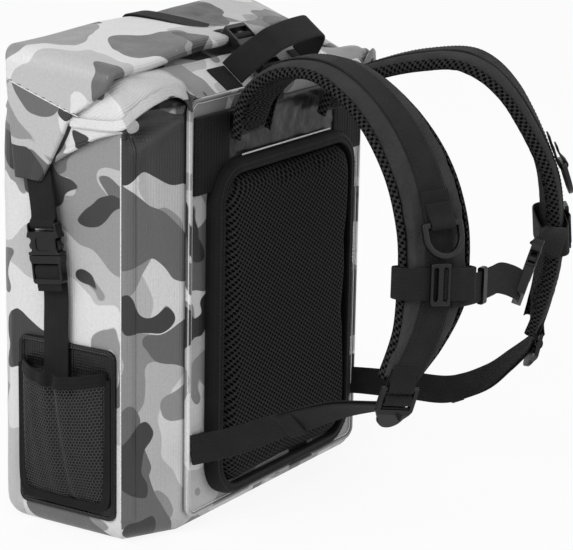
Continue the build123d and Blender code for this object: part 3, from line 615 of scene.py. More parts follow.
def woven(name, base, pale, pitches, depth, roughness, sheen_and_wear=0.25):
    """Woven polyester: threads over and under that catch the light, matt, unevenly worn.

    The pitches are those of the threads across the piece's map and along it.
    """
    add = new_material(name)
    flat = add("UVMap", uv_map=MAP)
    across, along = add("SeparateXYZ", flat).node.outputs[:2]
    warp, weft = ribs(add, across, pitches[0]), ribs(add, along, pitches[1])
    crossed = add("Math", add("Math", warp, weft, operation="MULTIPLY"), 0.5,
                  operation="MULTIPLY")
    raised = add("Math", warp, 0.4, operation="MULTIPLY")
    bumps = add("Math", crossed, raised, operation="ADD")
    fuzz = add("TexNoise", flat, Scale=900.0, Detail=2.0)
    stain = add("TexNoise", flat, Scale=38.0, Detail=3.0)
    # Painted highlight: the raised threads are painted paler. The stains below are real uneven
    # wear, and both go up to the same share of pale.
    lit = add("MapRange", bumps, -0.9, 0.9, 0.0, sheen_and_wear)
    stained = add("MapRange", stain, 0.3, 0.7, 0.0, sheen_and_wear)
    patchy = add("Math", lit, stained, operation="ADD")
    height = add("Math", bumps, fuzz, operation="ADD")
    add("OutputMaterial", add(
        "BsdfPrincipled", Roughness=roughness, Specular_IOR_Level=0.12, Sheen_Weight=0.02,
        Base_Color=add("Mix", patchy, A_Color=base, B_Color=pale, out=2, data_type="RGBA"),
        Normal=add("Bump", Height=height, Distance=depth)))


def spacer_mesh():
    """Knitted polyester spacer mesh: slanted rows of open holes, matt, darker inside the holes.

    The knit has a hole every 2.5 mm; it is drawn at the mesh pitch so that the holes show.
    """
    colours, pitch = setting("colours"), setting("sizes").mesh_pitch
    add = new_material("knitted_spacer_mesh")
    flat = add("UVMap", uv_map=MAP)
    u, v = add("SeparateXYZ", flat).node.outputs[:2]
    leaning = add("Math", u, add("Math", v, 0.9, operation="MULTIPLY"), operation="ADD")
    falling = add("Math", add("Math", u, 0.6, operation="MULTIPLY"), v, operation="SUBTRACT")
    crests = add("Math", ribs(add, leaning, pitch * 1.5), ribs(add, falling, pitch),
                 operation="ADD")
    opened = add("MapRange", add("Math", crests, 0.5, operation="MULTIPLY"), -0.1, 0.3)
    knit = add("TexNoise", flat, Scale=1500.0, Detail=1.0)
    yarn = add("Mix", add("MapRange", knit, 0.35, 0.65), A_Color=colours.mesh,
               B_Color=hex_colour("#3c3c3c"), out=2, data_type="RGBA")
    # Painted shade: the holes are painted near-black, where their recess lies in shadow.
    tint = add("Mix", opened, A_Color=yarn, B_Color=hex_colour("#010101"), out=2,
               data_type="RGBA")
    sunk = add("Math", opened, -1.0, operation="MULTIPLY")
    fuzz = add("Math", knit, 0.25, operation="MULTIPLY")
    height = add("Math", sunk, fuzz, operation="ADD")
    add("OutputMaterial", add(
        "BsdfPrincipled", Base_Color=tint, Roughness=0.8, Specular_IOR_Level=0.04,
        Normal=add("Bump", Height=height, Distance=0.0004)))


def moulded_plastic():
    """Injection-moulded acetal: a fine spark-eroded grain, satin, paler where it has rubbed."""
    add = new_material("moulded_acetal")
    place = add("TexCoord", out="Object")
    grit = add("TexNoise", place, Scale=2600.0, Detail=2.0)
    cloud = add("TexNoise", place, Scale=120.0, Detail=3.0)
    tint = add("Mix", add("MapRange", cloud, 0.45, 0.75, 0.0, 0.35),
               A_Color=setting("colours").plastic, B_Color=hex_colour("#1c1c1c"), out=2,
               data_type="RGBA")
    add("OutputMaterial", add(
        "BsdfPrincipled", Base_Color=tint, Specular_IOR_Level=0.3,
        Roughness=add("MapRange", cloud, 0.3, 0.7, 0.3, 0.42),
        Normal=add("Bump", Height=grit, Distance=0.00006)))


def plain_thread(name, base, roughness, scale):
    """Polyester yarn, or a cut edge of cloth or sheet: matt, with a fibrous unevenness."""
    add = new_material(name)
    fibre = add("TexNoise", add("TexCoord", out="Object"), Scale=scale, Detail=2.0)
    tint = add("Mix", 1.0, A_Color=base, B_Color=add("MapRange", fibre, 0.3, 0.7, 0.75, 1.1),
               out=2, data_type="RGBA", blend_type="MULTIPLY")
    add("OutputMaterial", add(
        "BsdfPrincipled", Base_Color=tint, Roughness=roughness, Specular_IOR_Level=0.3,
        Normal=add("Bump", Height=fibre, Distance=0.0001)))


def studio_surface():
    """Matt painted board: nearly white to the camera, and plain pale to the light on the object."""
    add = new_material("studio_board")
    board = add("BsdfPrincipled", Base_Color=setting("colours").backdrop, Roughness=0.9)
    rays = add("LightPath").node.outputs
    seen = add("Math", rays["Is Camera Ray"], rays["Is Glossy Ray"], operation="MAXIMUM")
    white = add("Emission", (1, 1, 1, 1), 1.0)
    add("OutputMaterial", add("MixShader", add("Math", seen, 0.9, operation="MULTIPLY"), board,
                              white))


def make_materials():
    """Every finish of the backpack."""
    colours, sizes = setting("colours"), setting("sizes")
    # The same print, cut from another part of the roll for each piece.
    camouflage_tarpaulin("camo_walls", (0.31, 0.12, 0.05))
    camouflage_tarpaulin("camo_strip", (2.45, 0.37, 1.13), 0.7)
    camouflage_tarpaulin("camo_roof", (2.63, 1.14, 0.87), 1.2)
    camouflage_tarpaulin("camo_roll", (3.37, 2.05, 1.21), 1.8)
    camouflage_tarpaulin("camo_ear", (4.12, 0.45, 1.66), 0.3)
    camouflage_tarpaulin("camo_panel", (5.28, 1.53, 2.42), 0.1)
    coated_black("pvc_coated_black", colours.black_tarpaulin, 0.24, 1.0)
    coated_black("coated_nylon", hex_colour("#101010"), 0.3, 0.0)
    # Real ribs are about 1.2 mm apart; the rib pitch is coarser, so that they still show.
    rib = sizes.rib_pitch
    woven("polyester_webbing", colours.webbing, hex_colour("#323232"), (rib, rib * 0.8), 0.00035,
          0.72)
    woven("grosgrain_binding", colours.binding, hex_colour("#222222"), (0.0042, rib * 0.7),
          0.00025, 0.68)
    # Oxford cloth of 0.5 mm threads, drawn at the cloth pitch so that its grain shows.
    woven("oxford_cloth", colours.pad, hex_colour("#4c4c4c"), (sizes.cloth_pitch,) * 2, 0.00022,
          0.85, sheen_and_wear=0.3)
    spacer_mesh()
    moulded_plastic()
    plain_thread("sewing_thread", colours.thread, 0.6, 3000.0)
    # The net's yarn is about 0.4 mm thick in cells of 2.5 mm; both are made larger, to show.
    plain_thread("net_yarn", colours.net, 0.65, 2500.0)
    # The pale base cloth of the cut and welded edges. The same finish makes the painted highlight
    # along the pad's top edge.
    plain_thread("cut_scrim_edge", colours.scrim, 0.6, 900.0)
    plain_thread("polypropylene_sheet", colours.stiffener, 0.5, 300.0)
    studio_surface()


# ---------------------------------------------------------------- bag


def drooped(points):
    """The points with the far end of the mouth let down, and the cloth under it with it."""
    p = np.array(points, float)
    x, y, z = p[..., 0], p[..., 1], p[..., 2]
    depth = (y - MOUTH_FRONT[0]) / (MOUTH_BACK[0] - MOUTH_FRONT[0])
    crest = MOUTH_FRONT[1] + (MOUTH_BACK[1] - MOUTH_FRONT[1]) * depth
    lowered = crest - DROOP * (DROOP_X[0] + (DROOP_X[1] - DROOP_X[0]) * depth - x)
    rear = (MOUTH_BACK[1] - SHOULDER_Z) / (BACK_Y - MOUTH_BACK[0])
    front = (MOUTH_FRONT[1] - FRONT_SHOULDER_Z) / (MOUTH_FRONT[0] - FRONT_Y)
    top = np.minimum(crest, MOUTH_BACK[1] - rear * np.maximum(0, y - MOUTH_BACK[0]))
    top = np.minimum(top, MOUTH_FRONT[1] - front * np.maximum(0, MOUTH_FRONT[0] - y))
    gap = np.where(x < 0, top - lowered, -99)
    cut = np.where(gap > DROOP_SOFT, gap, np.maximum(0, gap + DROOP_SOFT) ** 2 / (4 * DROOP_SOFT))
    p[..., 2] = z - cut * step_up(295, top, z)
    return p


STRIP_OUT = unit((REAR_CUT[1], REAR_CUT[0]))      # outwards from the near corner strip
STRIP_W = 58.1


def wall_outline():
    """Points of the bag's outline from above, each x, y, outward x, outward y, run, region.

    The near half runs from the middle of the front to the middle of the back; regions are
    0 front and side, 1 rear corner strip, 2 back.
    """
    spacing = 3.0
    corner = np.array((HALF_WIDTH - FRONT_CORNER_R, FRONT_Y + FRONT_CORNER_R))
    key = [((0, FRONT_Y), (0, -1), 0), (corner + (0, -FRONT_CORNER_R), (0, -1), 0)]
    for turn in range(-75, 0, 15):
        arm = np.array((cos(radians(turn)), sin(radians(turn))))
        key.append((corner + FRONT_CORNER_R * arm, arm, 0))
    key += [
        (corner + (FRONT_CORNER_R, 0), (1, 0), 0),
        ((HALF_WIDTH, BACK_Y - REAR_CUT[1]), (1, 0), 0),
        ((HALF_WIDTH, BACK_Y - REAR_CUT[1]), STRIP_OUT, 1),
        ((HALF_WIDTH - REAR_CUT[0], BACK_Y), STRIP_OUT, 1),
        ((HALF_WIDTH - REAR_CUT[0], BACK_Y), (0, 1), 2),
        ((0, BACK_Y), (0, 1), 2),
    ]
    half, run = [], 0.0
    for (a, na, ra), (b, nb, rb) in zip(key, key[1:]):
        a, b, na, nb = (np.array(v, float) for v in (a, b, na, nb))
        length = np.linalg.norm(b - a)
        steps = max(1, round(length / spacing))
        if length < 0.01:
            continue
        for i in range(steps):
            t = i / steps
            n = unit(na * (1 - t) + nb * t)
            half.append((*(a + (b - a) * t), *n, run + length * t, ra))
        run += length
    half.append((0, BACK_Y, 0, 1, run, 2))
    half = np.array(half)
    mirrored = half[-2:0:-1] * (-1, 1, -1, 1, -1, 1) + (0, 0, 0, 0, 2 * run, 0)
    return np.vstack([half, mirrored])


def strip_recess(x, z):
    """How far the corner strip is drawn in under the roof's fold, with the crease below it."""
    along = (HALF_WIDTH - abs(x)) * STRIP_W / REAR_CUT[0]
    above = (z - (322 + 0.6 * along)) * 0.86
    drawn = 15 * step_up(-2, 22, above) * step_up(2, 14, along) * step_up(58, 50, along)
    ridge = 2.4 * bell(above, -3, 4.5) * step_up(8, 20, along)
    fold = 1.6 * bell(along, 21 + 0.1 * (330 - z), 5) * step_up(235, 318, z)
    return drawn - ridge + fold * 0.7


def wall_offset(x, y, z, region):
    """Soft creases of a wall, in or out along its normal."""
    depth = setting("sizes").crease / MM
    wide = ripple((x, y, z * 0.55), 58, 3.1) + 0.45 * ripple((x, y, z), 24, 7.7)
    if region == 1:
        return -0.3 * depth * (1 + wide) * step_up(0, 40, z) - strip_recess(x, z)
    if region == 2:
        return -1.6
    if abs(x) > HALF_WIDTH - 0.5:
        # The side strap draws a shallow hollow into the middle of the side.
        tied = 2.6 * bell(y, -16, 26) * bell(z, 190, 34)
        slack = 0.75 * depth * (1.1 + wide) * step_up(2, 40, z) * step_up(53, 34, y)
        return -slack - tied
    return depth * 0.8 * wide * step_up(2, 40, z)


def bag_rings():
    """Levels of the bag from the middle of its base up to the roll."""
    outline = wall_outline()
    x, y, nx, ny, run, region = outline.T
    rings = []

    def level(inset, z, share_in=0.0):
        """One ring, inset from the outline and drawn in towards its middle by a share."""
        px = np.clip(x - nx * inset, inset - HALF_WIDTH, HALF_WIDTH - inset)
        py = np.where(region == 1, BACK_Y, y - ny * inset)
        # The base's rear corners are mitred where the slanted strip meets the back.
        slant = inset + STRIP_OUT[0] * (np.abs(px) - HALF_WIDTH)
        slant = BACK_Y - REAR_CUT[1] - slant / STRIP_OUT[1]
        py = np.minimum(np.minimum(py, slant), BACK_Y - inset)
        px, py = px * (1 - share_in), py * (1 - share_in)
        rings.append(np.column_stack([px, py, np.zeros_like(px) + z]))

    for share_in in (0.92, 0.7, 0.45, 0.22, 0.08):
        level(BASE_R, 0.0, share_in)
    for turn in np.linspace(0, 90, 8):
        level(BASE_R * (1 - sin(radians(turn))), BASE_R * (1 - cos(radians(turn))))
    # The wall stands inside the mouth's sheet by this much at its top.
    tuck = 2.5
    top = FRONT_SHOULDER_Z + (SHOULDER_Z - FRONT_SHOULDER_Z) * (y - FRONT_Y) / (BACK_Y - FRONT_Y)
    for t in np.linspace(0, 1, 112)[1:]:
        z = BASE_R + (top - BASE_R) * t
        level(0.0, z)
        push = [wall_offset(*p, r) for p, r in zip(rings[-1], region)]
        fade = step_up(1.0, 0.955, t) * np.ones_like(x)
        rings[-1][:, 0] += nx * push * fade - nx * tuck * (1 - fade)
        rings[-1][:, 1] += ny * push * fade - ny * tuck * (1 - fade)
    for m in np.linspace(0, 1, 9)[1:]:
        depth = (y - FRONT_Y) / (BACK_Y - FRONT_Y)
        low, high = FRONT_Y + 18 * m, BACK_Y - 31 * m
        z = (FRONT_SHOULDER_Z + 48 * m) * (1 - depth) + (SHOULDER_Z + 24 * m) * depth
        sag = 2.5 + 1.5 * sin(pi * m)
        px = np.clip(x, -HALF_WIDTH + tuck, HALF_WIDTH - tuck)
        rings.append(np.column_stack([px, low + (high - low) * depth, z - sag]))
    return drooped(rings), run, region


def build_bag_body():
    """The body from its base to the roll, in two cuts of the print."""
    rings, run, region = bag_rings()
    rows, cols = rings.shape[:2]
    u = np.r_[run, 2 * run.max()][None, :] + np.zeros((rows, 1))

    def slot(i, j):
        """The strips and the back are cut from another part of the print."""
        return int(region[j] == 2 or region[j] == 1 and region[(j + 1) % cols] >= 1)

    body = skin("bag_body", rings, ("camo_walls", "camo_strip"),
                uv=map_rows(u, run_along(rings[:, 0])), slots=slot)
    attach(dressed(body, "camo_tarpaulin", "body_shell"), "root")


# Near half of the roof sheet: columns from its edge under the roll to its hem.
ROOF_COLUMNS = [
    [(0, 46, 386.4), (0, 57, 377.8), (0, 68, 369.4), (0, 78.6, 361.6)],
    [(60, 46, 386.4), (60, 57, 377.8), (60, 68, 369.6), (60, 78.6, 362)],
    [(100, 46, 386.6), (100, 57, 378.6), (100, 69, 370.8), (101, 79, 363)],
    [(120, 46, 387), (120, 59, 381.5), (121, 71, 374.5), (122, 80.4, 366.4)],
    [(133, 46, 387.4), (132, 61, 384.5), (131, 74, 377.5), (130.5, 82, 367)],
    [(143, 45.5, 387.6), (140, 63, 386.8), (137.5, 77.5, 378.5), (136.5, 83, 359)],
    [(152, 45, 387.6), (149, 63, 387.4), (146.5, 77.5, 382), (144.5, 82.5, 369)],
    [(160, 44.5, 387.4), (158.5, 61, 386.2), (157, 73.5, 382), (155.5, 79.5, 373.5)],
    [(168, 44, 386.8), (169, 57, 382.6), (169.5, 66.5, 377), (169, 72, 368.6)],
    [(176, 42.5, 385.6), (179, 51, 377.4), (180.5, 58, 368.4), (180.5, 62, 358.6)],
    [(181.5, 38, 382.6), (185, 45, 372.4), (187.2, 50.5, 361.6), (187.6, 55, 349.4)],
    [(184.6, 30, 376), (187, 34, 366.4), (188.6, 37, 356.8), (189, 40, 347.2)],
    [(185.4, 17, 366.6), (187.2, 19, 360), (188.6, 20.5, 353), (189, 22, 346.6)],
    [(185.6, 3, 354), (187, 4, 351.4), (188, 4.5, 348.8), (188.6, 5, 346.2)],
]


def build_roof_sheet():
    """The sheet between the roll and the panel, folded over the hollow at each rear corner."""
    along = [smooth_rows([c[k] for c in ROOF_COLUMNS], 2.4) for k in range(4)]
    count, steps = max(len(a) for a in along), 22
    lines = [spread(a, count) for a in along]
    near = np.array([spread(smooth_rows(column, 1.0), steps) for column in zip(*lines)])
    normal = units(np.cross(np.gradient(near, axis=1), np.gradient(near, axis=0)))
    free = step_up(104, 140, near[:, :, 0])
    for j, v in enumerate(np.linspace(0, 1, steps)):
        for i in range(count):
            p = near[i, j]
            soft = ripple(p, 30, 1.3) * 1.3 + ripple(p, 13, 4.4) * 0.4
            ridge = 3.2 * bell(p[0], 150 - 26 * (v - 0.5), 5.5)
            hollow = 3.4 * bell(p[0], 168 - 16 * (v - 0.5), 7)
            edge_fade = sin(pi * v) ** 0.6 if 0 < v < 1 else 0.0
            lift = (soft * 0.8 + (ridge - hollow) * 0.7) * free[i, j] * edge_fade
            sunk = -0.4 - 0.8 * abs(ripple(p, 26, 2.2))
            near[i, j] = p + normal[i, j] * (lift + sunk * (1 - free[i, j]))
    # The free edge turns under in a small round fold.
    last = near[:, -1]
    down, inward = units(last - near[:, -2]), -normal[:, -1]
    turned = step_up(129, 138, last[:, 0])
    radius = 0.5 + 1.2 * turned * (1 - 0.45 * step_up(186, 188.5, last[:, 0]))
    curl = []
    for a in np.radians(np.linspace(20, 180, 8)):
        curl.append(last + down * (radius * sin(a))[:, None]
                    + inward * (radius * (1 - cos(a)))[:, None])
    curl.append(curl[-1] - down * (2 + 5 * turned)[:, None])
    near = np.concatenate([near, np.stack(curl, axis=1)], axis=1)
    far = drooped(near[:0:-1] * (-1, 1, 1))
    sheet = skin("roof_sheet", np.concatenate([far, near]), "camo_roof", closed=False,
                 out=(0, 1, 1))
    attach(dressed(sheet, "camo_tarpaulin"), "root")


def build_gusset(side):
    """Spare cloth under the hem, folded flat against the side below the roof sheet."""
    hem = [(188.2, 6, 347), (188.4, 22, 346.6), (188.2, 38, 346.4), (186.6, 53, 346.2)]
    low = [(186.6, -13, 314), (188.6, 8, 326.5), (189.2, 30, 338.5), (186.4, 53.5, 345.6)]
    flip, rings, count = (side, 1, 1), [], 34
    hem, low = (spread(smooth_rows(line, 1.5), count) for line in (hem, low))
    for t, a, b in zip(np.linspace(0, 1, count), hem, low):
        row = []
        for s in np.linspace(0, 1, 16):
            p = a + (b - a) * s
            p[0] += 2.2 * bell(s, 0.84, 0.11) * (1 - t) ** 0.5
            p[0] -= 1.4 * sin(pi * min(1, s * 1.2)) * (1 - t)
            row.append(p * flip)
        # Its lower edge is tucked in behind itself.
        low_edge = row[-1]
        row += [low_edge + np.array(tuck) * flip for tuck in ((-1.2, -0.4, -0.9), (-2.6, 0.6, 0.3))]
        rings.append(drooped(row))
    return skin("gusset", rings, "camo_roof", closed=False, out=(side, 0, 0))


def weld_bead(line, radius):
    """The pale cut edge of the cloth along a welded seam."""
    return tube("bead", drooped(line), radius, "cut_scrim_edge", sides=6, step=3.0)


def wall_point(x, y, z, lift):
    """A point on the near wall at a height, with the wall's own creases."""
    if y > BACK_Y - REAR_CUT[1]:
        push = wall_offset(x, y, z, 1) + lift
        return np.array((x, y, z)) + np.array((*STRIP_OUT, 0)) * push
    return np.array((x + wall_offset(x, y, z, 0) + lift, y, z))


def build_seams():
    """Welded overlaps of the corner strips, with the pale cut edge of the cloth."""
    overlap, sunk, proud = 13.5, -0.3, 0.55
    start = np.array((HALF_WIDTH, BACK_Y - REAR_CUT[1], 0))
    strip = np.array((-STRIP_OUT[1], STRIP_OUT[0], 0))
    profile = [(-0.2, sunk), (0.4, proud), (4, proud), (8, proud), (overlap - 0.5, proud),
               (overlap, sunk)]
    made = []
    for side in SIDES:
        flip = np.array((side, 1, 1))
        edge = [wall_point(HALF_WIDTH, 51.5, z, 0.5) * flip for z in np.linspace(21, 341, 60)]
        made.append(weld_bead(edge, setting("sizes").seam_bead / MM / 2))
        band = []
        for z in np.linspace(20, 339, 110):
            row = []
            for across, lift in profile:
                x, y, _ = start + strip * across
                row.append(wall_point(x, max(y, start[1] + 0.01), z, lift) * flip)
            band.append(drooped(row))
        made.append(skin("band", band, "camo_strip", closed=False, out=(side, 1, 0)))
        hem = [np.array(c[3]) * flip + (side * 0.5, 0.3, -1.2) for c in ROOF_COLUMNS[10:]]
        made.append(weld_bead(hem, 0.45))
        made.append(build_gusset(side))
    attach(dressed(join("corner_seams", made), "camo_tarpaulin"), "root")


def build_back_panel():
    """The stiffened back panel, its welded rim, and slight waves where nothing presses on it."""
    place = Place((0, BACK_Y, PANEL_MID), (-1, 0, 0), (0, 1, 0))

    def height(inset, u, v):
        z, margin = v + PANEL_MID, 2
        covered = abs(u) < PAD_HALF + 1 and abs(z - PAD_MID) < PAD_HALF_V + margin
        wave = 0.35 * ripple((u, 0, v), 22, 2.7)
        if covered or abs(z - BAND_MID) < BAND_HALF_V + margin:
            wave = 0.0
        return 3.0 * min(1.0, inset / 0.8) ** 0.5 - 0.35 + wave * step_up(4, 9, inset)

    insets = [0.0, 0.3, 0.8, 2.5, 4.5, 7, 10, 14, 19, 26, 35, 50, 70, 95, 120, 133]
    made = [relief("panel", place, PANEL_HALF, PANEL_HALF_V, PANEL_R, height, "camo_panel", insets,
                   240)]
    # The raised rim, the edge of the sheet inside it, and the cut edge round the outside.
    for name, inset, radius, lift, thick, finish, sides in (
            ("rim", 1.0, PANEL_R - 1, 3.6, 1.25, "camo_panel", 10),
            ("step", 3.6, PANEL_R - 3, 3.2, 0.45, "cut_scrim_edge", 6),
            ("cut", 0.1, PANEL_R, 2.9, 0.5, "cut_scrim_edge", 6)):
        line = rim_line(place, PANEL_HALF - inset, PANEL_HALF_V - inset, radius, lift, 150)
        made.append(tube(name, line, thick, finish, closed=True, sides=sides))
    panel = join("back_panel_skin", made)
    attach(dressed(panel, "camo_tarpaulin", "back_panel", "panel_piping"), "root")


# ---------------------------------------------------------------- rolled mouth and ears

MOUTH_MID = np.array((0, MOUTH_BACK[0] + MOUTH_FRONT[0], MOUTH_BACK[1] + MOUTH_FRONT[1])) / 2
MOUTH_ALONG = unit((0, MOUTH_BACK[0] - MOUTH_FRONT[0], MOUTH_BACK[1] - MOUTH_FRONT[1]))
MOUTH_UP = np.array((0, -MOUTH_ALONG[2], MOUTH_ALONG[1]))
ROLL_HALF_DEPTH, ROLL_END, EAR_X = 54.2, 182.0, 190.3
# Front and rear edge of the ear, y and z, from the fold down to the webbing's end.
EAR_ROWS = [
    ((-58, 391.0), (45.0, 383.0)), ((-58, 384), (41.5, 377.5)), ((-57.8, 374), (32, 371)),
    ((-57, 364), (22, 363)), ((-56, 352), (7, 352.5)), ((-54.5, 335), (-3, 334.5)),
    ((-52.5, 316), (-13.5, 315)), ((-50.5, 298), (-24, 297.5)),
]


def roll_section_rows():
    """Rows of the near half from the middle: front edge, rear edge, upward direction, thickness."""
    rows = []
    for x in np.linspace(0, ROLL_END, 74):
        droop = 3.2 * step_up(120, ROLL_END, x)
        centre = MOUTH_MID + MOUTH_UP * (5.2 - 0.25 * droop) + (x, 0, 0)
        reach = MOUTH_ALONG * ROLL_HALF_DEPTH
        rows.append((centre - reach, centre + reach, MOUTH_UP, 5.0))
    tops = rows[-1][:2]
    firsts = [np.array((EAR_X, *edge)) for edge in EAR_ROWS[0]]
    for a in np.radians(np.linspace(12, 84, 7)):
        swing, drop = sin(a), 1 - cos(a)
        up = unit(MOUTH_UP * cos(a) + np.array((1, 0, 0)) * sin(a))
        front, rear = (top * (1, 1 - drop, 1 - drop) + first * (0, drop, drop)
                       for top, first in zip(tops, firsts))
        front[0] = rear[0] = ROLL_END + (EAR_X - ROLL_END) * swing
        rows.append((front, rear, up, 5.0 - swing))
    fronts = smooth_rows([f for f, _ in EAR_ROWS], 2.6)
    rears = smooth_rows([r for _, r in EAR_ROWS], 2.2)
    rears = spread(rears[np.linspace(0, len(rears) - 1, 60).astype(int)], len(fronts))
    for thick, f, r in zip(np.linspace(4.0, 2.4, len(fronts)), fronts, rears):
        rows.append((np.array((EAR_X, *f)), np.array((EAR_X, *r)), np.array((1, 0, 0)), thick))
    return rows


def ear_weld_z(y):
    """Height of the weld across an ear, where the roll's cloth overlaps the ear's."""
    return 374.5 - (y + 46.5) * 19.7 / 61


def build_roll(side):
    """Half of the rolled mouth with its ear folded down the side, as one turned-over slab."""
    name, flip = SIDES[side], (side, 1, 1)
    shares = [0, 0.006, 0.02, 0.045, *np.linspace(0.08, 0.92, 34), 0.955, 0.98, 0.994, 1.0]
    rings = []
    for front, rear, up, thick in roll_section_rows():
        upper, lower = [], []
        for c in shares:
            edge = min(c, 1 - c) * np.linalg.norm(rear - front)
            round_off = np.sqrt(max(0.0, 1 - max(0.0, 1 - edge / thick) ** 2))
            p = front + (rear - front) * c
            on_ear = step_up(ROLL_END, ROLL_END + 10, p[0])
            # The middle of the roll stands higher than its ends, most of all at the back.
            p = p + (0, 0, 6.5 * step_up(150, 62, p[0]) * (0.45 + 0.55 * c))
            crown = 2.4 * sin(pi * c) * (1 - on_ear) * (0.6 + 0.4 * step_up(0, 120, p[0]))
            crease = ripple(p * (0.45, 1, 1), 30, 5.2) * 1.5 + ripple(p, 14, 9.1) * 0.35
            pinch = 1.4 * bell(abs(p[0]), TOP_STRAP_X, 16)
            rise = thick + (crown + crease * (1 - 0.55 * on_ear) * sin(pi * c)) * round_off - pinch
            if side < 0:
                # The far half is rolled looser and stands up in a bump.
                rise += 5.0 * bell(p[0], 105, 42) * bell(p[1], -32, 26)
            dent = 1.2 * on_ear * bell(c, 0.55, 0.16) * step_up(345, 300, p[2])
            upper.append((p + up * ((rise - dent) * round_off)) * flip)
            lower.append((p - up * (thick * round_off)) * flip)
        rings.append(upper + lower[-2:0:-1])
    rings = np.array(rings)

    def slot(i, j):
        """The ear's own cloth starts below the weld."""
        x, y, z = (rings[i, j] + rings[i + 1, j]) / 2
        return int(abs(x) > ROLL_END + 2 and z < ear_weld_z(y))

    slab = skin(f"roll_{name}", drooped(rings), ("camo_roll", "camo_ear"), slots=slot)
    weld = np.array([ear_surface(rings, y, ear_weld_z(y)) + (side * 0.15, 0, 0)
                     for y in np.linspace(-56.5, 14.5, 14)])
    weld[:, 0] = np.convolve(np.pad(weld[:, 0], 2, mode="edge"), np.ones(5) / 5, mode="valid")
    piece = join(f"roll_{name}", [slab, weld_bead(weld, 0.45)])
    dressed(piece, "camo_tarpaulin", f"ear_{name}", *(["roll_top"] if side > 0 else []))
    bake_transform(piece)


def ear_surface(rings, y, z):
    """The outer face of an ear at y and z."""
    points = rings.reshape(-1, 3)
    outer = points[np.abs(points[:, 0]) > EAR_X + 0.1]
    gap = (outer[:, 1] - y) ** 2 + (outer[:, 2] - z) ** 2
    nearest = outer[np.argsort(gap)[:4]]
    return np.array((nearest[:, 0].mean(), y, z))


# ---------------------------------------------------------------- padding


def apply_modifier(piece, name, kind, **settings):
    """Gives a piece a modifier with its settings and applies it."""
    made = piece.modifiers.new(name, kind)
    for word, value in settings.items():
        setattr(made, word, value)
    bpy.context.view_layer.objects.active = piece
    bpy.ops.object.select_all(action="DESELECT")
    piece.select_set(True)
    bpy.ops.object.modifier_apply(modifier=name)


def blow_up(piece, voxel, cap, pressure):
    """Padding swells: remeshed, blown up a little as cloth, each point's move capped."""
    apply_modifier(piece, "remesh", "REMESH", mode="VOXEL", voxel_size=voxel)
    before = np.array([v.co for v in piece.data.vertices])
    cloth = piece.modifiers.new("swell", "CLOTH")
    cloth.settings.use_pressure = True
    cloth.settings.uniform_pressure_force = pressure
    cloth.settings.effector_weights.gravity = 0
    cloth.settings.mass = 0.3
    moments = 20
    cloth.point_cache.frame_end = moments
    for moment in range(1, moments + 1):
        bpy.context.scene.frame_set(moment)
        bpy.context.view_layer.update()
    shaped = piece.evaluated_get(bpy.context.evaluated_depsgraph_get())
    after = np.array([v.co for v in shaped.data.vertices])
    piece.modifiers.remove(cloth)
    bpy.context.scene.frame_set(1)
    move = after - before
    length = np.linalg.norm(move, axis=1)[:, None]
    move *= np.minimum(1, cap / np.maximum(length, 1e-9))
    piece.data.vertices.foreach_set("co", (before + move).astype(np.float32).ravel())


def relax(piece):
    """Smooths a remeshed surface and adds one subdivision."""
    apply_modifier(piece, "even", "SMOOTH", factor=0.5, iterations=3)
    apply_modifier(piece, "finer", "SUBSURF", levels=1, render_levels=1)
    piece.data.polygons.foreach_set("use_smooth", [True] * len(piece.data.polygons))


def vertex_array(piece):
    """A piece's points, in millimetres."""
    flat = np.zeros(len(piece.data.vertices) * 3, np.float32)
    piece.data.vertices.foreach_get("co", flat)
    return flat.reshape(-1, 3).astype(float) / MM


def set_vertices(piece, points):
    """Moves a piece's points to new places, in millimetres."""
    piece.data.vertices.foreach_set("co", (points * MM).astype(np.float32).ravel())
    piece.data.update()


def map_uv(piece, uv):
    """One UV per vertex, in millimetres."""
    layers = piece.data.uv_layers
    while layers:
        layers.remove(layers[0])
    layer = layers.new(name=MAP)
    index = np.zeros(len(piece.data.loops), np.int32)
    piece.data.loops.foreach_get("vertex_index", index)
    layer.data.foreach_set("uv", (uv[index] * MM).astype(np.float32).ravel())


def build_back_pad():
    """Crowned foam pad under spacer mesh, held flat at its rim by the binding."""
    sizes, inset = setting("sizes"), BINDING_W - 4.0
    half_u, half_v = PAD_HALF - inset, PAD_HALF_V - inset
    insets = [0.0, 1.0, 3.0, 6, 12, 20, 32, 46, 62, 80, 100, 120]
    pad = relief("back_pad_mesh", panel_place(0, PAD_MID), half_u, half_v, PAD_CORNER_R - inset,
                 lambda d, u, v: 3.0 + 9.4 * min(1.0, d / 11) ** 0.6, "knitted_spacer_mesh",
                 insets, 180)
    blow_up(pad, sizes.voxel, sizes.swell, 3.0)
    relax(pad)
    points = vertex_array(pad)
    x, y, z = points.T
    near_edge = np.minimum(half_u - np.abs(x), half_v - np.abs(z - PAD_MID))
    crown = 1.6 * step_up(0, 60, near_edge)
    waves = np.array([ripple(p, 46, 6.1) for p in points])
    y = np.where(y > PANEL_FACE + 2, y + crown + 0.5 * waves, y)
    points[:, 1] = np.clip(y, PANEL_FACE + 0.15, PANEL_FACE + PAD_T + 1.5)
    set_vertices(pad, points)
    map_uv(pad, np.column_stack([points[:, 0], points[:, 2] + points[:, 1] * 0.5]))
    dressed(pad, "spacer_mesh", "back_pad")
    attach(pad, "root")


# Inset from the pad's outline, and height over the panel, round the tape.
BINDING_SECTION = [
    (0.3, 0.2), (0.0, 2.6), (0.1, 6.0), (0.6, 9.2), (1.7, 11.4), (3.4, 12.4), (5.2, 12.3),
    (7.0, 12.3), (8.4, 12.8), (9.3, 13.2), (9.9, 12.6), (9.6, 9.0), (7.5, 3.5), (4.0, 0.5),
]


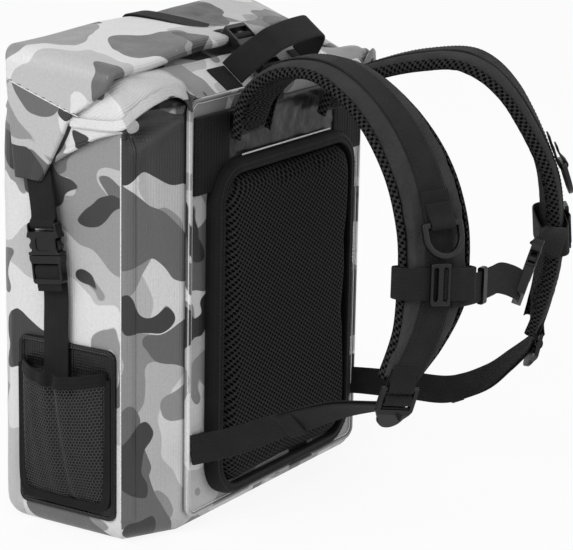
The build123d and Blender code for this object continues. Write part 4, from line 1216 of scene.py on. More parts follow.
def build_pad_binding():
    """Tape folded over the pad's rim: a flat inner leg and a rounded outer edge."""
    place, count = panel_place(0, PAD_MID), 260
    laps = [rounded_outline(PAD_HALF - d, PAD_HALF_V - d, PAD_CORNER_R - d, count)
            for d, _ in BINDING_SECTION]
    run, across = run_along(laps[0]), run_along(BINDING_SECTION)
    rings = []
    for i in [*range(count), 0]:
        pucker = 0.35 * ripple((run[i], 0, 0), 9, 2.0)
        rings.append([place.at(*lap[i], h + pucker * step_up(1, 6, h))
                      for (_, h), lap in zip(BINDING_SECTION, laps)])
    # The map goes on past the last of the section and of the outline, to where they close.
    u = np.r_[across, across[-1] + 5][None, :] + np.zeros((count + 1, 1))
    binding = skin("pad_binding_tape", rings, "grosgrain_binding", caps=False,
                   uv=map_rows(u, np.r_[run, run[-1] + 4]))
    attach(dressed(binding, "binding", "pad_binding"), "root")


def over_pad(u, z):
    """How far a point of the panel lies inside the pad's outline, negative outside it."""
    away = np.array((abs(u) - PAD_HALF, abs(z - PAD_MID) - PAD_HALF_V)) + PAD_CORNER_R
    return PAD_CORNER_R - np.linalg.norm(np.maximum(away, 0)) - min(0, max(away))


def build_anchor_band():
    """Soft doubled nylon over the straps' roots, with a flat tape sewn down at both ends."""
    half_u, tape_half = PANEL_HALF - 4.2, 24.0
    tape_x = half_u - tape_half

    def soft(inset, u, v):
        """Wrinkled between the tapes, and let down to nothing over the pad."""
        wrinkle = ripple((u * 0.8, 0, (v + 0.28 * u) * 2.2), 30, 8.8)
        wrinkle += 0.5 * ripple((u, 0, v * 2), 12, 3.1)
        loose = step_up(86, 76, abs(u)) * step_up(1, 7, inset)
        full = 2.4 * min(1.0, inset / 2.4) ** 0.5 + (1.1 + 1.5 * wrinkle) * loose
        return 0.2 + full * step_up(6, 0, over_pad(u, v + BAND_MID))

    def flat(inset, u, v):
        buried = step_up(5, 1, over_pad(u + tape_x, v + BAND_MID))
        return 0.2 + 3.9 * min(1.0, inset / 0.7) ** 0.5 * buried

    insets = [0.0, 0.4, 1.0, 1.8, 2.6, 3.6, 4.8, 6.5, 8.5, 11, 14, 17, 20, 24, 28, 31]
    made = [relief("band", panel_place(0, BAND_MID), half_u, BAND_HALF_V, 3, soft, "coated_nylon",
                   insets, 420)]
    insets = [0.0, 0.3, 0.7, 2, 4, 7, 10, 14, 18, 22]
    for side in SIDES:
        made.append(relief("tape", panel_place(side * tape_x, BAND_MID), tape_half,
                           BAND_HALF_V - 0.6, 1.5, lambda d, u, v: flat(d, -side * u, v),
                           "grosgrain_binding", insets, 160))
    # A painted highlight: a pale bead in the cut edge's colour along the top edge of the pad's
    # binding, where the light glints on its fold.
    hem = [(x, PANEL_FACE + 6.2, PAD_MID + PAD_HALF_V + 2.6) for x in np.linspace(-72, 66, 40)]
    made.append(tube("hem", hem, 0.75, "cut_scrim_edge", sides=6, step=3.0))
    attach(dressed(join("anchor_band", made), "black_tarpaulin", "strap_anchor_band"), "root")


def strap_path(side):
    """Even rows down a shoulder strap: x, y, z, width direction, outward direction, width."""
    rows = []
    for k, station in enumerate(strap_route(side)):
        middle, across, travel, out = strap_station(side, k)
        rows.append((*middle, *across, *out, station[4]))
    rows.append((*(middle + travel * 2), *across, *out, 30))
    return smooth_rows(rows, 3.0)


def frame_of(row):
    """Middle, width direction, outward direction and width of a row of the path."""
    return row[:3], unit(row[3:6]), unit(row[6:9]), row[9]


def pad_section(width, thick):
    """Half-flat lens: the strap is flatter against the wearer and pinched at both bound edges."""
    ring = []
    for turn in np.linspace(0, 2 * pi, 40, endpoint=False):
        c, s = cos(turn), sin(turn)
        a = np.sign(c) * abs(c) ** 0.62 * width / 2
        h = np.sign(s) * abs(s) ** 0.8 * thick / 2 * (1.65 if s > 0 else 1.0)
        ring.append((a, h))
    return ring


def build_shoulder_pad(side):
    """Foam strap in oxford cloth outside and spacer mesh inside, blown up as cloth."""
    name, sizes, path = SIDES[side], setting("sizes"), strap_path(side)
    rings = []
    for i, row in enumerate(path):
        centre, across, out, width = frame_of(row)
        tip = min(i, len(path) - 1 - i) / 3.0
        thick = 10.0 * min(1.0, 0.6 + 0.15 * tip)
        rings.append([centre + across * a * 0.97 + out * h for a, h in pad_section(width, thick)])
    pad = skin(f"shoulder_pad_skin_{name}", rings, ("oxford_cloth", "knitted_spacer_mesh"))
    blow_up(pad, sizes.voxel, sizes.swell * 0.6, 3.5)
    relax(pad)
    points, centres = vertex_array(pad), path[:, :3]
    nearest = np.array([np.argmin(((centres - p) ** 2).sum(1)) for p in points])
    across, out = units(path[nearest, 3:6]), units(path[nearest, 6:9])
    away = points - centres[nearest]
    a, h = (away * across).sum(1), (away * out).sum(1)
    along = run_along(centres)[nearest] - (away * np.cross(out, across)).sum(1)
    # The padding stays under the webbing outside, and is flatter against the wearer.
    points += out * (np.clip(h, -6.4, WEB_LIFT - 0.3) - h)[:, None]
    set_vertices(pad, points)
    map_uv(pad, np.column_stack([a, along]))
    # The wearer's side is mesh, from a little below the strap's middle.
    inner = [int(np.mean([h[v] for v in f.vertices]) < -1.2) for f in pad.data.polygons]
    pad.data.polygons.foreach_set("material_index", inner)
    dressed(pad, "pad_fabric", f"shoulder_pad_{name}")
    hang(pad)


def hang(piece):
    """The piece bends between the bag and the swinging harness at the strap's root."""
    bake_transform(piece)


def build_strap_tape(side):
    """Binding tape folded round both long edges of a strap."""
    outside = [(radians(turn), 3.7, 4.3) for turn in np.linspace(-105, 105, 15)]
    inside = [(radians(turn), 2.4, 3.2) for turn in np.linspace(105, -105, 9)[1:-1]]
    made = []
    for hand in (1, -1):
        rings = []
        for i, row in enumerate(strap_path(side)[1:-1]):
            centre, across, out, width = frame_of(row)
            edge = centre + across * hand * (width / 2 - 3.4)
            pucker = 0.25 * ripple((i * 3.0, 0, hand), 8, 1.1)
            rings.append([edge + across * hand * (wide * cos(t))
                          + out * (tall + (pucker if tall > 4 else 0)) * sin(t)
                          for t, wide, tall in outside + inside])
        made.append(skin("tape", rings, "knitted_spacer_mesh"))
    hang(dressed(join(f"strap_tape_{SIDES[side]}", made), "binding"))


# ---------------------------------------------------------------- webbing

def pad_web_rows(side):
    """Rows of the webbing down a shoulder strap, from the band to the ladder lock."""
    rows = []
    for k in range(1, LOCK_STATION + 1):
        middle, across, _, out = strap_station(side, k)
        rise = WEB_LIFT - (1.2 if k == 1 else 0)
        across = lock_place(side).x if k == LOCK_STATION else across
        rows.append((*(middle + out * rise), *across, WEB_W))
    return rows


def place_rows(place, path, width=WEB_W, flip=1):
    """Rows from points given edge-on in a place: along y, off z."""
    return [(*place.at(0, v, w), *(place.x * flip), width) for v, w in path]


def rows_at(points, across, width=WEB_W):
    """Rows through points with one width direction."""
    return [(*p, *across, width) for p in points]


def bar_loop(place, radius, reach, width, name):
    """Webbing laid round a bar at the place's origin and sewn to itself behind."""
    half, r = reach * 0.5, radius
    path = [(-reach, -r * 0.25), (-half, -r * 0.1), (-r * 0.7, r * 0.72), (0, r),
            (r * 0.75, r * 0.66), (r, 0), (r * 0.7, -r * 0.7), (0, -r * 1.02), (-half, -r * 1.1),
            (-reach, -r * 1.1)]
    return webbing(name, place_rows(place, path, width), 1.4, 1.2)


def build_strap_webbing(side):
    """Webbing down a strap, with its ring's sleeve and keeper and its loop round the lock."""
    name = SIDES[side]
    sleeve = bar_loop(on_strap(side, RING_STATION, 15.1), 3.5, 17, 21, "sleeve")
    patch = on_strap(side, RING_STATION, WEB_LIFT + 1.5, along=-13)
    keeper = place_rows(patch, ((-14, 0), (-6, 0.1), (2, 0.4), (9, 1.4), (12, 1.6)))
    strap = join(f"strap_webbing_{name}", [
        webbing("main", pad_web_rows(side)), sleeve, webbing("keeper", keeper, 1.4),
        bar_loop(lock_place(side), 2.9, 20, 23, "lock_loop")])
    hang(dressed(strap, "webbing", f"pad_webbing_{name}"))


def build_chest_loop(side):
    """Webbing wrapped round the strap for the chest strap, drawn tight over its edges."""
    name, aside = SIDES[side], 2 if side > 0 else -14
    middle, across, travel, out = strap_station(side, LOOP_STATION)
    half = strap_route(side)[LOOP_STATION][4] / 2 + 3.6
    lap = []
    for turn in [*np.linspace(0, 2 * pi, 72, endpoint=False), 0.0]:
        c, s = cos(turn), sin(turn)
        lap.append(middle + across * (np.sign(c) * abs(c) ** 0.42 * half)
                   + out * (np.sign(s) * abs(s) ** 0.55 * 12.0 + 0.6))
    loop = webbing(f"chest_loop_{name}", rows_at(lap, travel), 1.5)
    tail = middle + out * 14.2 + across * aside
    path = [(-side * 2, 0.2), (-side * 14, 2.8), (-side * 23, 1.0), (-side * 30, 0.2)]
    fold = webbing("fold", rows_at([tail + across * u + out * w for u, w in path], travel), 1.5)
    loop = join(f"chest_loop_{name}", [loop, fold])
    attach(dressed(loop, "webbing", f"sternum_loop_{name}"), "harness")


def build_chest_strap():
    """The two halves of the chest strap, from their sliders to the buckle."""
    level = [(99, 303.5, 237), (86, 308, 236.6), (72, 310, 236), (58, 310, 236), (45, 310, 236),
             (33, 310, 235.8)]
    rows = [*rows_at(level, (0, 0, 1)), (18, 311.6, 231, -0.2, 0, 1, WEB_W),
            (5, 313, 225, -0.35, 0, 0.94, WEB_W), (-4, 312, 220, -0.5, 0, 0.86, WEB_W)]
    near = webbing("chest_strap_near", rows, 1.4, 1.6)
    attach(dressed(near, "webbing", "sternum_webbing"), "harness")
    middle, across, travel, out = strap_station(-1, LOOP_STATION)
    edge = middle + across * (FAR_ROUTE[LOOP_STATION][4] / 2 + 6) + out * 6
    laced = ((21.5, 2.4), (25.3, 3.1), (28.6, 0.2), (36.0, -0.6))
    rows = [*place_rows(STERNUM_BUCKLE, laced, flip=-1),
            (*edge, *(travel * np.sign(travel.dot(BUCKLE_WIDTH))), WEB_W)]
    far = webbing("chest_strap_far", rows, 1.4, 1.6)
    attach(dressed(far, "webbing", "sternum_webbing_far"), "harness")


# Lower webbing from the panel's edge towards the ladder lock.
NEAR_RUN = [(131, 84, 74), (130, 125, 90), (126, 170, 112), (123, 218, 134)]
FAR_RUN = [(-131, 84, 68), (-129, 139, 74), (-127, 185, 79), (-124, 222, 98), (-121, 246, 119)]
TAIL_LIFT, TAIL_START = 2.6, 2       # the tail lies over the run from its third point


def lower_rows(side, lift):
    """Rows of a lower webbing or of its tail, from the panel's edge to the ladder lock."""
    lock = lock_place(side)
    points = [np.array(p, float) for p in (NEAR_RUN if side > 0 else FAR_RUN)]
    points.append(lock.at(0, 16, -6.5))
    rows = []
    for i, p in enumerate(points):
        travel = unit(points[min(i + 1, len(points) - 1)] - points[max(i - 1, 0)])
        share_of = i / (len(points) - 1)
        across = np.array((0, 0, 1.0)) * (1 - share_of) + lock.x * side * share_of
        across = unit(across - travel * across.dot(travel))
        rows.append((*(p + np.cross(travel, across) * side * lift), *across, WEB_W))
    return rows


def build_lower_webbing(side):
    """Lower webbing from the panel's seam, laced through the ladder lock and back as a tail."""
    name, lock = SIDES[side], lock_place(side)
    run = lower_rows(side, 0)
    seam = [(side * 112, 83.6, run[0][2] - 1), (side * 122, 83.8, run[0][2] - 0.5)]
    lace = [(8, -4.8), (5.6, -1.0), (7.0, 2.7), (10.2, 3.4), (13.0, 2.4), (14.3, -0.9),
            (16.2, -3.6)]
    rows = [*rows_at(seam, (0, 0, 1)), *run, *place_rows(lock, lace, flip=side)]
    main = webbing(f"lower_strap_{name}", rows, 1.5, 1.4)
    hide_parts(f"lower_webbing_{name}")
    rows = [*lower_rows(side, TAIL_LIFT)[TAIL_START:],
            *place_rows(lock, [(16.6, -2.0), (16.3, 1.6)], flip=side)]
    tail = webbing("tail", rows, 1.5, 1.4)
    end, after = np.array(rows[0]), np.array(rows[1])
    lift = np.cross(unit((after - end)[:3]), end[3:6]) * side * 1.6
    hem = rows_at([(end + (after - end) * s)[:3] + lift for s in (0.0, 0.15, 0.3)], end[3:6])
    tail = join(f"lower_tail_{name}", [tail, webbing("hem", hem, 1.5)])
    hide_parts(f"lower_webbing_tail_{name}")
    for strap in (main, tail):
        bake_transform(strap)


def build_side_webbing(side):
    """Ear tab down to the housing, and the lower webbing from the latch into the pocket."""
    name, place = SIDES[side], side_buckle_place(side)
    x = place.x
    face = side * (HALF_WIDTH + 1.7)
    shown = place.at(0, 31.5, -0.6)
    tab = [(face, -31, 318), (face, -29.5, 303), shown + (-side * 1.6, -3, 15), shown]
    round_bar = [(28.0, 1.9), (25.0, 3.2), (22.0, 1.2), (23.4, -2.6), (31.0, -2.4), (45.0, -1.9)]
    rows = [*rows_at(tab, x), *place_rows(place, round_bar)]
    tab = webbing(f"ear_tape_{name}", rows, 1.4, 1.4)
    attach(dressed(tab, "webbing", f"ear_tab_{name}"), f"ear_{name}")
    laced = [(-30, 1.6), (-25, 2.0), (-18.5, 2.4), (-12.6, 3.1), (-9.2, 1.4), (-9.4, -3.4),
             (-15, -5.3), (-29, -5.4)]
    foot = place.at(0, *laced[-1])
    down = [(side * (HALF_WIDTH + out), foot[1] + away, z)
            for out, away, z in ((3.6, 0.8, foot[2] - 34), (3.9, 1, 140), (3.9, 1, 118))]
    rows = [*place_rows(place, laced), (*(foot + (0, 0.4, -14)), *x, WEB_W),
            *rows_at(down, (0, np.sign(x[1]), 0))]
    strap = webbing(f"side_strap_{name}", rows, 1.4, 1.4)
    dressed(strap, "webbing", f"side_webbing_{name}")
    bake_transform(strap)


def build_top_strap():
    """Webbing over the roll, from the front patch to the buckle and down to the band."""
    front = FRONT_Y - 2.8
    over = [(front, 304), (front, 326), (front, 342), (front + 5, 362), (-72, 392), (-66, 405),
            (-58, 409.6), (-30, 408.4), (0, 405.5), (22, 402.6)]
    latch = [(-25, -4.6), (-17.8, -4.4), (-14.2, 2.0), (-9.8, 2.6), (-8.8, -1.2)]
    bar = [(22.0, 1.6), (25.4, 3.1), (28.6, 0.8), (30.5, -1.8)]
    layer = PANEL_FACE + 2.7
    panel_top, band_top = PANEL_MID + PANEL_HALF_V, BAND_MID + BAND_HALF_V
    under = [(layer, panel_top + 1.5), (layer + 0.4, panel_top - 4), (layer + 0.4, band_top - 2)]

    def run(name, *points):
        return webbing(name, rows_at([p for part in points for p in part], (1.0, 0, 0)), 1.5)

    over, under = ([(TOP_STRAP_X, y, z) for y, z in line] for line in (over, under))
    latch, bar = ([TOP_BUCKLE.at(0, v, w) for v, w in line] for line in (latch, bar))
    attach(dressed(run("top_strap_web", over, latch), "webbing", "top_strap"), "root")
    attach(dressed(run("top_strap_tail", bar, under), "webbing", "top_strap_rear"), "root")


HANDLE_HALF, HANDLE_FOOT = 57.0, 4.5
HANDLE_PLACE = 0.42     # share of the way up the roof's slope


def handle_seat(lift):
    """Middle of the handle's seat on the roof's slope."""
    rise = np.array((0, MOUTH_BACK[0] - BACK_Y, MOUTH_BACK[1] - SHOULDER_Z))
    return np.array((0, BACK_Y, SHOULDER_Z)) + rise * HANDLE_PLACE + SLOPE_OUT * lift


def build_handle():
    """Doubled webbing handle, sewn down at both ends, standing in a loose arch."""
    seat = handle_seat(1.1)

    def run(name, path, thick):
        points = [seat + np.array((u, 0, 0)) + SLOPE_OUT * w for u, w in path]
        return webbing(name, rows_at(points, -SLOPE), thick)

    arch = [(HANDLE_HALF - 2.5, HANDLE_FOOT), (HANDLE_HALF - 5.5, 11), (HANDLE_HALF - 15, 23),
            (HANDLE_HALF - 27, 33), (22, 38.5), (0, 43), (-20, 44.6), (-32, 44), (-40, 39),
            (-45, 30), (-50, 17), (-HANDLE_HALF + 2, HANDLE_FOOT)]
    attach(dressed(run("handle_arch", arch, 2.4), "webbing", "grab_handle"), "handle")
    for side, name in SIDES.items():
        root = [(side * (HANDLE_HALF + 16), 0.0), (side * (HANDLE_HALF + 2), 0.1),
                (side * (HANDLE_HALF - 8), 0.0)]
        root = run(f"handle_end_{name}", root, WEB_T)
        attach(dressed(root, "webbing", f"handle_root_{name}"), "root")


def build_front_patch():
    """Small welded patch that anchors the top strap."""
    place = Place((TOP_STRAP_X, FRONT_Y, 312), (1, 0, 0), (0, -1, 0))
    insets = [0.0, 0.4, 1.2, 2.5, 4, 6, 9, 13, 18, 21]
    patch = relief("anchor_patch", place, 24, 22, 8,
                   lambda d, u, v: 1.5 * min(1.0, d / 0.7) ** 0.5 - 0.3 * bell(d, 2.6, 0.6),
                   "pvc_coated_black", insets, 72)
    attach(dressed(patch, "black_tarpaulin", "front_patch"), "root")


# ---------------------------------------------------------------- geometry nodes


def new_tree(name, **inputs):
    """A tree with geometry and the named inputs going in: itself, its add function, its inputs."""
    tree = bpy.data.node_groups.new(name, "GeometryNodeTree")
    add_socket = tree.interface.new_socket
    add_socket(name="Geometry", in_out="OUTPUT", socket_type="NodeSocketGeometry")
    for label, kind in {"Geometry": "Geometry", **inputs}.items():
        add_socket(name=label, in_out="INPUT", socket_type=f"NodeSocket{kind}")
    return tree, partial(add_node, tree), tree.nodes.new("NodeGroupInput").outputs


def end_tree(add, geometry, material):
    """Realizes what is instanced, gives it its material and joins it to the output."""
    real = add("GeometryNodeRealizeInstances", geometry)
    add("NodeGroupOutput", add("GeometryNodeSetMaterial", real, Material=material))


def run_tree(piece, tree, values, name):
    """The piece's mesh after the tree, as a plain mesh piece that takes its place."""
    wired = piece.modifiers.new("nodes", "NODES")
    wired.node_group = tree
    for item in tree.interface.items_tree:
        if item.in_out == "INPUT" and item.name in values:
            wired[item.identifier] = values[item.name]
    shaped = piece.evaluated_get(bpy.context.evaluated_depsgraph_get())
    mesh = bpy.data.meshes.new_from_object(shaped)
    mesh.name = name
    bpy.data.objects.remove(piece)
    return add_object(name, mesh)


def net_tree():
    """Knotless net: the dual of a triangle grid is a sheet of six-sided cells, each edge a yarn."""
    tree, add, given = new_tree("hex_net", Yarn="Float", Material="Material")
    cells = add("GeometryNodeDualMesh", given["Geometry"], Keep_Boundaries=True)
    lines = add("GeometryNodeMeshToCurve", cells)
    thick = add("Math", given["Yarn"], 0.5, operation="MULTIPLY")
    ring = add("GeometryNodeCurvePrimitiveCircle", Resolution=3, Radius=thick)
    yarn = add("GeometryNodeCurveToMesh", lines, ring)
    end_tree(add, yarn, given["Material"])
    return tree


def stitch_tree():
    """Lockstitch: one small bead of thread per stitch along every sewing line."""
    tree, add, given = new_tree("lockstitch", Pitch="Float", Length="Float", Width="Float",
                                Material="Material")
    lines = add("GeometryNodeMeshToCurve", given["Geometry"])
    places = add("GeometryNodeCurveToPoints", lines, mode="LENGTH", Length=given["Pitch"])
    bead = add("GeometryNodeMeshIcoSphere", Radius=0.5, Subdivisions=1)
    shape = add("CombineXYZ", given["Width"], given["Width"], given["Length"])
    sewn = add("GeometryNodeInstanceOnPoints", places, Instance=bead, Scale=shape,
               Rotation=places.node.outputs["Rotation"])
    real = add("GeometryNodeRealizeInstances", sewn)
    end_tree(add, add("GeometryNodeSetShadeSmooth", real), given["Material"])
    return tree


def line_mesh(name, lines):
    """Sewing lines, each a list of points in millimetres, as a mesh of edges."""
    points, edges = [], []
    for line in lines:
        first = len(points)
        points += [tuple(np.asarray(p, float) * MM) for p in line]
        edges += [(i, i + 1) for i in range(first, len(points) - 1)]
    mesh = bpy.data.meshes.new(name)
    mesh.from_pydata(points, edges, [])
    return add_object(name, mesh)


# ---------------------------------------------------------------- net pockets


def pocket_skin(side, a, t):
    """Point of the pouch at a across (0 front to 1 back) and t up (0 foot to 1 top edge)."""
    y = NET_Y[0] + (NET_Y[1] - NET_Y[0]) * a
    belly = sin(pi * a) ** 0.62
    rise = (t ** 0.5) * (1 - 0.2 * t * t)
    pleat = bell(a, 0.6 - 0.14 * t, 0.045) * (0.35 + 0.65 * t)
    rib = 0.5 * np.sin(a * 31 + 2.2 * t) * belly
    out = 2.2 + (NET_BULGE - 4.6) * belly * rise * (1 + 0.05 * ripple((a * 60, t * 90, 0), 17, 3.3))
    out += rib - 5.5 * pleat
    top = NET_Z[1] - 5.5 * sin(pi * min(1.0, a * 1.05)) - 2.0
    z = NET_Z[0] + 1.5 + (top - NET_Z[0]) * t
    return np.array((side * (HALF_WIDTH + out), y, z))


def tape_rows(points, across, width):
    """Rows of a tape through points, its width direction found from the way that it runs."""
    rows = []
    for i, p in enumerate(points):
        along = unit(np.subtract(points[min(i + 1, len(points) - 1)], points[max(i - 1, 0)]))
        rows.append((*p, *across(along), width))
    return rows


def build_pocket_net(side):
    """Net pouch of six-sided cells, with its bound top edge and its tape frame."""
    name, sizes = SIDES[side], setting("sizes")
    cell = sizes.net_pitch / MM
    # The flat net is 104 by 118 mm; rows of a triangle grid stand 0.866 of its pitch apart.
    cols, rows = int(104.0 / cell), int(118.0 / (cell * 0.866))
    points, faces = [], []
    for i in range(rows + 1):
        shift = 0.5 if i % 2 else 0.0
        for j in range(cols + 1):
            points.append(pocket_skin(side, min(1.0, (j + shift) / (cols + 0.5)), i / rows))
    for i in range(rows):
        for j in range(cols):
            low = i * (cols + 1) + j
            high = low + cols + 1
            if i % 2:
                faces += [(low, high + 1, high), (low, low + 1, high + 1)]
            else:
                faces += [(low, low + 1, high), (low + 1, high + 1, high)]
    grid = make_piece("net_grid", points, faces, "net_yarn", out=(side, 0, 0))
    values = {"Yarn": sizes.net_thread, "Material": bpy.data.materials["net_yarn"]}
    made = [run_tree(grid, net_tree(), values, "net_cells")]
    top = [pocket_skin(side, a, 1.0) for a in np.linspace(0.0, 1.0, 26)]
    rim = tape_rows(top, lambda along: unit(np.array((side * -0.12, 0, 1.0)) - along * along[2]),
                    10.5)
    rim = [(row[0] + side * 0.4, *row[1:]) for row in rim]
    made.append(webbing("rim", rim, 1.6, finish="grosgrain_binding"))
    front, back, foot = NET_Y[0], NET_Y[1], NET_Z[0]
    frame_line = [
        (front - 0.5, 141), (front - 0.5, 90), (front - 0.3, 42), (front + 4, foot + 1),
        (front + 14, foot - 1.5), (0, foot - 2), (back - 14, foot - 1.5), (back - 4, foot + 1),
        (back + 0.3, 42), (back + 0.5, 90), (back + 0.5, 141),
    ]
    tape = tape_rows([(side * (HALF_WIDTH + 3.6), *p) for p in frame_line],
                     lambda along: np.cross((side, 0, 0), along), 8.0)
    made.append(webbing("frame", tape, 1.6, finish="grosgrain_binding"))
    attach(dressed(join(f"net_pouch_{name}", made), "net", f"pocket_net_{name}"), "root")


def build_pocket_patch(side):
    """Glossy patch welded to the side, with a thick raised rim and a rippled middle."""
    name = SIDES[side]
    middle = (side * HALF_WIDTH, sum(POCKET_Y) / 2, sum(POCKET_Z) / 2)
    place = Place(middle, (0, side, 0), (side, 0, 0))
    half_u, half_v = (POCKET_Y[1] - POCKET_Y[0]) / 2, (POCKET_Z[1] - POCKET_Z[0]) / 2

    def height(inset, u, v):
        rim = 2.6 * min(1.0, inset) ** 0.5 * step_up(4.6, 3.2, inset)
        well = 1.1 * step_up(2.8, 4.0, inset)
        groove = 0.35 * bell(inset, 2.2, 0.4)
        wave = 0.3 * (1 + ripple((u, v, 0), 12, 5.9)) * step_up(4, 7, inset)
        return 0.1 + rim + well - groove + wave

    insets = [0.0, 0.3, 0.7, 1.2, 1.8, 2.2, 2.6, 3.1, 3.6, 4.1, 4.6, 5.5, 7, 9, 12, 15, 18, 22, 26,
              31, 37, 43, 48]
    patch = relief(f"pocket_base_{name}", place, half_u, half_v, 8, height, "pvc_coated_black",
                   insets, 200)
    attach(dressed(patch, "black_tarpaulin", f"pocket_patch_{name}"), "root")


# ---------------------------------------------------------------- stitches


def sewn_line(*corners):
    """A sewing line through corners, with a point about every 2 mm."""
    line = []
    for a, b in zip(corners, corners[1:]):
        steps = max(2, int(np.linalg.norm(b - a) / 2))
        line += [a + (b - a) * t for t in np.linspace(0, 1, steps)]
    return line


def harness_lines(side):
    """Sewing lines of one shoulder strap: webbing edges and cross tacks."""
    web, lines = pad_web_rows(side), []
    for aside in (-WEB_W / 2 + 2.2, WEB_W / 2 - 2.2):
        lines.append(strap_line(web, aside, 0.95, 3, 6))
    centre, across, out, _, run = strap_rows(web, 1.0)
    for tack in (30, 92, 152, 214, 330, 342):
        k = int(np.argmin(np.abs(run - tack)))
        if abs(run[k] - tack) < 2:
            lines.append([centre[k] + across[k] * a + out[k] for a in np.linspace(-10, 10, 11)])
    return lines


def bag_lines():
    """Sewing lines that stay with the bag: pad binding, anchor band, roots and handle ends."""
    lines = []
    for inset, lift in ((8.0, 12.85), (3.6, 12.5)):
        lap = rim_line(panel_place(0, PAD_MID), PAD_HALF - inset, PAD_HALF_V - inset,
                       PAD_CORNER_R - inset, lift, 360)
        lines.append([*lap, lap[0]])
    band = panel_place(0, BAND_MID)
    # Down both ends of the band, each line from its own height over the pad's rounded corner.
    foot = PAD_MID - BAND_MID + 128
    for x, rise in ((84, 22), (88, 22), (106, 8), (122, 0), (126, 0)):
        for u in (x, -x):
            lines.append(sewn_line(band.at(u, foot + rise, 4.3), band.at(u, BAND_HALF_V - 3, 4.3)))
    seat, half = handle_seat(2.3), 9.5
    for side in SIDES:
        outer, inner = (seat + np.array((side * u, 0, 0)) for u in (HANDLE_HALF + 13, HANDLE_HALF))
        box = [outer + SLOPE * half, outer - SLOPE * half, inner - SLOPE * half,
               inner + SLOPE * half]
        lines += [sewn_line(*box, box[0]), sewn_line(box[0], box[2]), sewn_line(box[1], box[3])]
    return lines


def build_stitches():
    """All the sewing, one piece for each body that it rides on."""
    sizes, tree = setting("sizes"), stitch_tree()
    values = {"Pitch": sizes.stitch_pitch, "Length": sizes.stitch_length,
              "Width": sizes.stitch_width, "Material": bpy.data.materials["sewing_thread"]}

    def sewn(lines, name):
        return dressed(run_tree(line_mesh("lines", lines), tree, values, name), "webbing")

    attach(sewn(bag_lines(), "stitches_bag"), "root")
    for side, name in SIDES.items():
        hang(sewn(harness_lines(side), f"stitches_{name}"))


# ---------------------------------------------------------------- fittings


def finish_fittings():
    """Gives the CAD nodes that stay their real finish."""
    moulded = ("buckle", "d_ring", "ladder_lock", "slider", "keeper")
    for name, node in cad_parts.items():
        kept = "moulded_acetal" if any(word in name for word in moulded) else "polypropylene_sheet"
        node.data.materials.clear()
        node.data.materials.append(bpy.data.materials[kept])


# ---------------------------------------------------------------- studio


def build_floor():
    """Pale flat floor, wide enough to fill the view behind the bag."""
    xs, ys = (-5.2, -2.4, 0.0, 2.4, 5.2), (-4.4, -1.6, 0.0, 1.6, 4.4)
    faces = [(k, k + 1, k + 6, k + 5) for i in range(4) for k in range(5 * i, 5 * i + 4)]
    mesh = bpy.data.meshes.new("floor")
    mesh.from_pydata([(x, y, -0.0005) for y in ys for x in xs], [], faces)
    mesh.materials.append(bpy.data.materials["studio_board"])
    add_object("floor", mesh)


def build_world():
    """White behind the object, and a plain even light on it."""
    world = bpy.data.worlds.new("studio_world")
    bpy.context.scene.world = world
    world.use_nodes = True
    world.node_tree.nodes.clear()
    add = partial(add_node, world.node_tree)
    rays = add("LightPath").node.outputs
    seen = add("Math", rays["Is Camera Ray"], rays["Is Glossy Ray"], operation="MAXIMUM")
    seen = add("Math", seen, rays["Is Transmission Ray"], operation="MAXIMUM")
    strength = add("MapRange", seen, 0.0, 1.0, setting("studio").world, 1.0)
    add("OutputWorld", add("Background", (1, 1, 1, 1), strength))


def add_softbox(name, place, wide, tall, power):
    """A rectangular lamp that looks at the lower middle of the bag."""
    lamp = bpy.data.lights.new(name, "AREA")
    lamp.shape, lamp.size, lamp.size_y, lamp.energy = "RECTANGLE", wide, tall, power
    made = add_object(name, lamp)
    made.location = place
    aim = Vector((0, 0, 0.2)) - Vector(place)
    made.rotation_euler = aim.to_track_quat("-Z", "Y").to_euler()


def build_camera():
    """A long lens a little above the bag, off its rear near corner."""
    lens = bpy.data.cameras.new("camera")
    lens.sensor_width, lens.lens = 36.0, setting("studio").lens
    lens.clip_start, lens.clip_end = 0.05, 30.0
    made = add_object("camera", lens)
    right, up = Vector((-0.53398, 0.84529, 0.01856)), Vector((-0.20642, -0.15162, 0.96665))
    back = Vector((0.81991, 0.51234, 0.25545))
    turn = Matrix((right, up, back)).transposed().to_4x4()
    made.matrix_world = Matrix.Translation((1.6322, 1.1107, 0.7052)) @ turn
    bpy.context.scene.camera = made


# ---------------------------------------------------------------- operators


class BACKPACK_OT_materials(bpy.types.Operator):
    """Make every finish"""

    bl_idname = "backpack.materials"
    bl_label = "Materials"
    bl_options = {"REGISTER", "UNDO"}

    def execute(self, context):
        make_materials()
        return {"FINISHED"}


class BACKPACK_OT_stage(bpy.types.Operator):
    """Set up the floor, the light and the camera"""

    bl_idname = "backpack.stage"
    bl_label = "Studio"
    bl_options = {"REGISTER", "UNDO"}

    def execute(self, context):
        build_floor()
        build_world()
        studio = setting("studio")
        add_softbox("key", (2.1, -0.1, 1.7), 1.6, 1.2, studio.key)
        add_softbox("fill", (-0.9, 2.4, 1.5), 1.6, 1.6, studio.fill)
        build_camera()
        context.scene.view_settings.view_transform = "Standard"
        return {"FINISHED"}


class BACKPACK_OT_fittings(bpy.types.Operator):
    """Finish the moulded fittings"""

    bl_idname = "backpack.fittings"
    bl_label = "Fittings"
    bl_options = {"REGISTER", "UNDO"}

    def execute(self, context):
        finish_fittings()
        return {"FINISHED"}


class BACKPACK_OT_bag(bpy.types.Operator):
    """Build the bag's body, its roof sheet and its welded seams"""

    bl_idname = "backpack.bag"
    bl_label = "Bag body"
    bl_options = {"REGISTER", "UNDO"}

    def execute(self, context):
        build_bag_body()
        build_roof_sheet()
        build_seams()
        return {"FINISHED"}


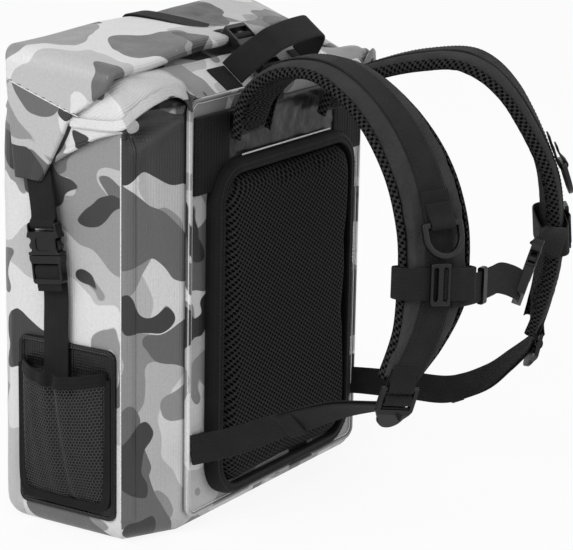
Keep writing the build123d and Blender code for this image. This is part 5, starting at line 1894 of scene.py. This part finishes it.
class BACKPACK_OT_roll(bpy.types.Operator):
    """Build the rolled mouth with its two ears"""

    bl_idname = "backpack.roll"
    bl_label = "Rolled mouth"
    bl_options = {"REGISTER", "UNDO"}

    def execute(self, context):
        for side in SIDES:
            build_roll(side)
        return {"FINISHED"}


class BACKPACK_OT_panel(bpy.types.Operator):
    """Build the back panel, its pad and the anchor band"""

    bl_idname = "backpack.back_panel"
    bl_label = "Back panel"
    bl_options = {"REGISTER", "UNDO"}

    def execute(self, context):
        build_back_panel()
        build_back_pad()
        build_pad_binding()
        build_anchor_band()
        return {"FINISHED"}


class BACKPACK_OT_straps(bpy.types.Operator):
    """Build the padded shoulder straps and their webbing"""

    bl_idname = "backpack.straps"
    bl_label = "Shoulder straps"
    bl_options = {"REGISTER", "UNDO"}

    def execute(self, context):
        for side in SIDES:
            build_shoulder_pad(side)
            build_strap_tape(side)
            build_strap_webbing(side)
            build_chest_loop(side)
            build_lower_webbing(side)
        return {"FINISHED"}


class BACKPACK_OT_webbing(bpy.types.Operator):
    """Build the chest strap, the top strap, the side straps and the handle"""

    bl_idname = "backpack.webbing"
    bl_label = "Webbing"
    bl_options = {"REGISTER", "UNDO"}

    def execute(self, context):
        build_chest_strap()
        build_top_strap()
        build_handle()
        build_front_patch()
        for side in SIDES:
            build_side_webbing(side)
        return {"FINISHED"}


class BACKPACK_OT_pockets(bpy.types.Operator):
    """Build the net pockets on their welded patches"""

    bl_idname = "backpack.pockets"
    bl_label = "Net pockets"
    bl_options = {"REGISTER", "UNDO"}

    def execute(self, context):
        for side in SIDES:
            build_pocket_patch(side)
            build_pocket_net(side)
        return {"FINISHED"}


class BACKPACK_OT_stitches(bpy.types.Operator):
    """Sew the stitches"""

    bl_idname = "backpack.stitches"
    bl_label = "Stitches"
    bl_options = {"REGISTER", "UNDO"}

    def execute(self, context):
        build_stitches()
        return {"FINISHED"}


class BACKPACK_PT_sidebar(bpy.types.Panel):
    """Settings and pieces of the backpack"""

    bl_label = "Backpack"
    bl_idname = "BACKPACK_PT_sidebar"
    bl_space_type = "VIEW_3D"
    bl_region_type = "UI"
    bl_category = "Backpack"

    def draw(self, context):
        for name, group in GROUPS:
            column = self.layout.column(heading=group.__doc__)
            for key in group.__annotations__:
                column.prop(setting(name), key)
        for operator in OPERATORS:
            self.layout.operator(operator.bl_idname)


GROUPS = (("colours", BackpackColours), ("sizes", BackpackSizes), ("studio", BackpackStudio))
OPERATORS = (
    BACKPACK_OT_materials, BACKPACK_OT_stage, BACKPACK_OT_fittings, BACKPACK_OT_bag,
    BACKPACK_OT_roll, BACKPACK_OT_panel, BACKPACK_OT_straps, BACKPACK_OT_webbing,
    BACKPACK_OT_pockets, BACKPACK_OT_stitches,
)


def register():
    for name, group in GROUPS:
        bpy.utils.register_class(group)
        setattr(bpy.types.Scene, f"backpack_{name}", bpy.props.PointerProperty(type=group))
    for made in (*OPERATORS, BACKPACK_PT_sidebar):
        bpy.utils.register_class(made)


def unregister():
    for made in (BACKPACK_PT_sidebar, *reversed(OPERATORS)):
        bpy.utils.unregister_class(made)
    for name, group in reversed(GROUPS):
        delattr(bpy.types.Scene, f"backpack_{name}")
        bpy.utils.unregister_class(group)


def main():
    register()
    for operator in OPERATORS:
        getattr(bpy.ops.backpack, operator.bl_idname.split(".")[1])()
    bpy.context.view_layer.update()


if __name__ == "__main__":
    main()
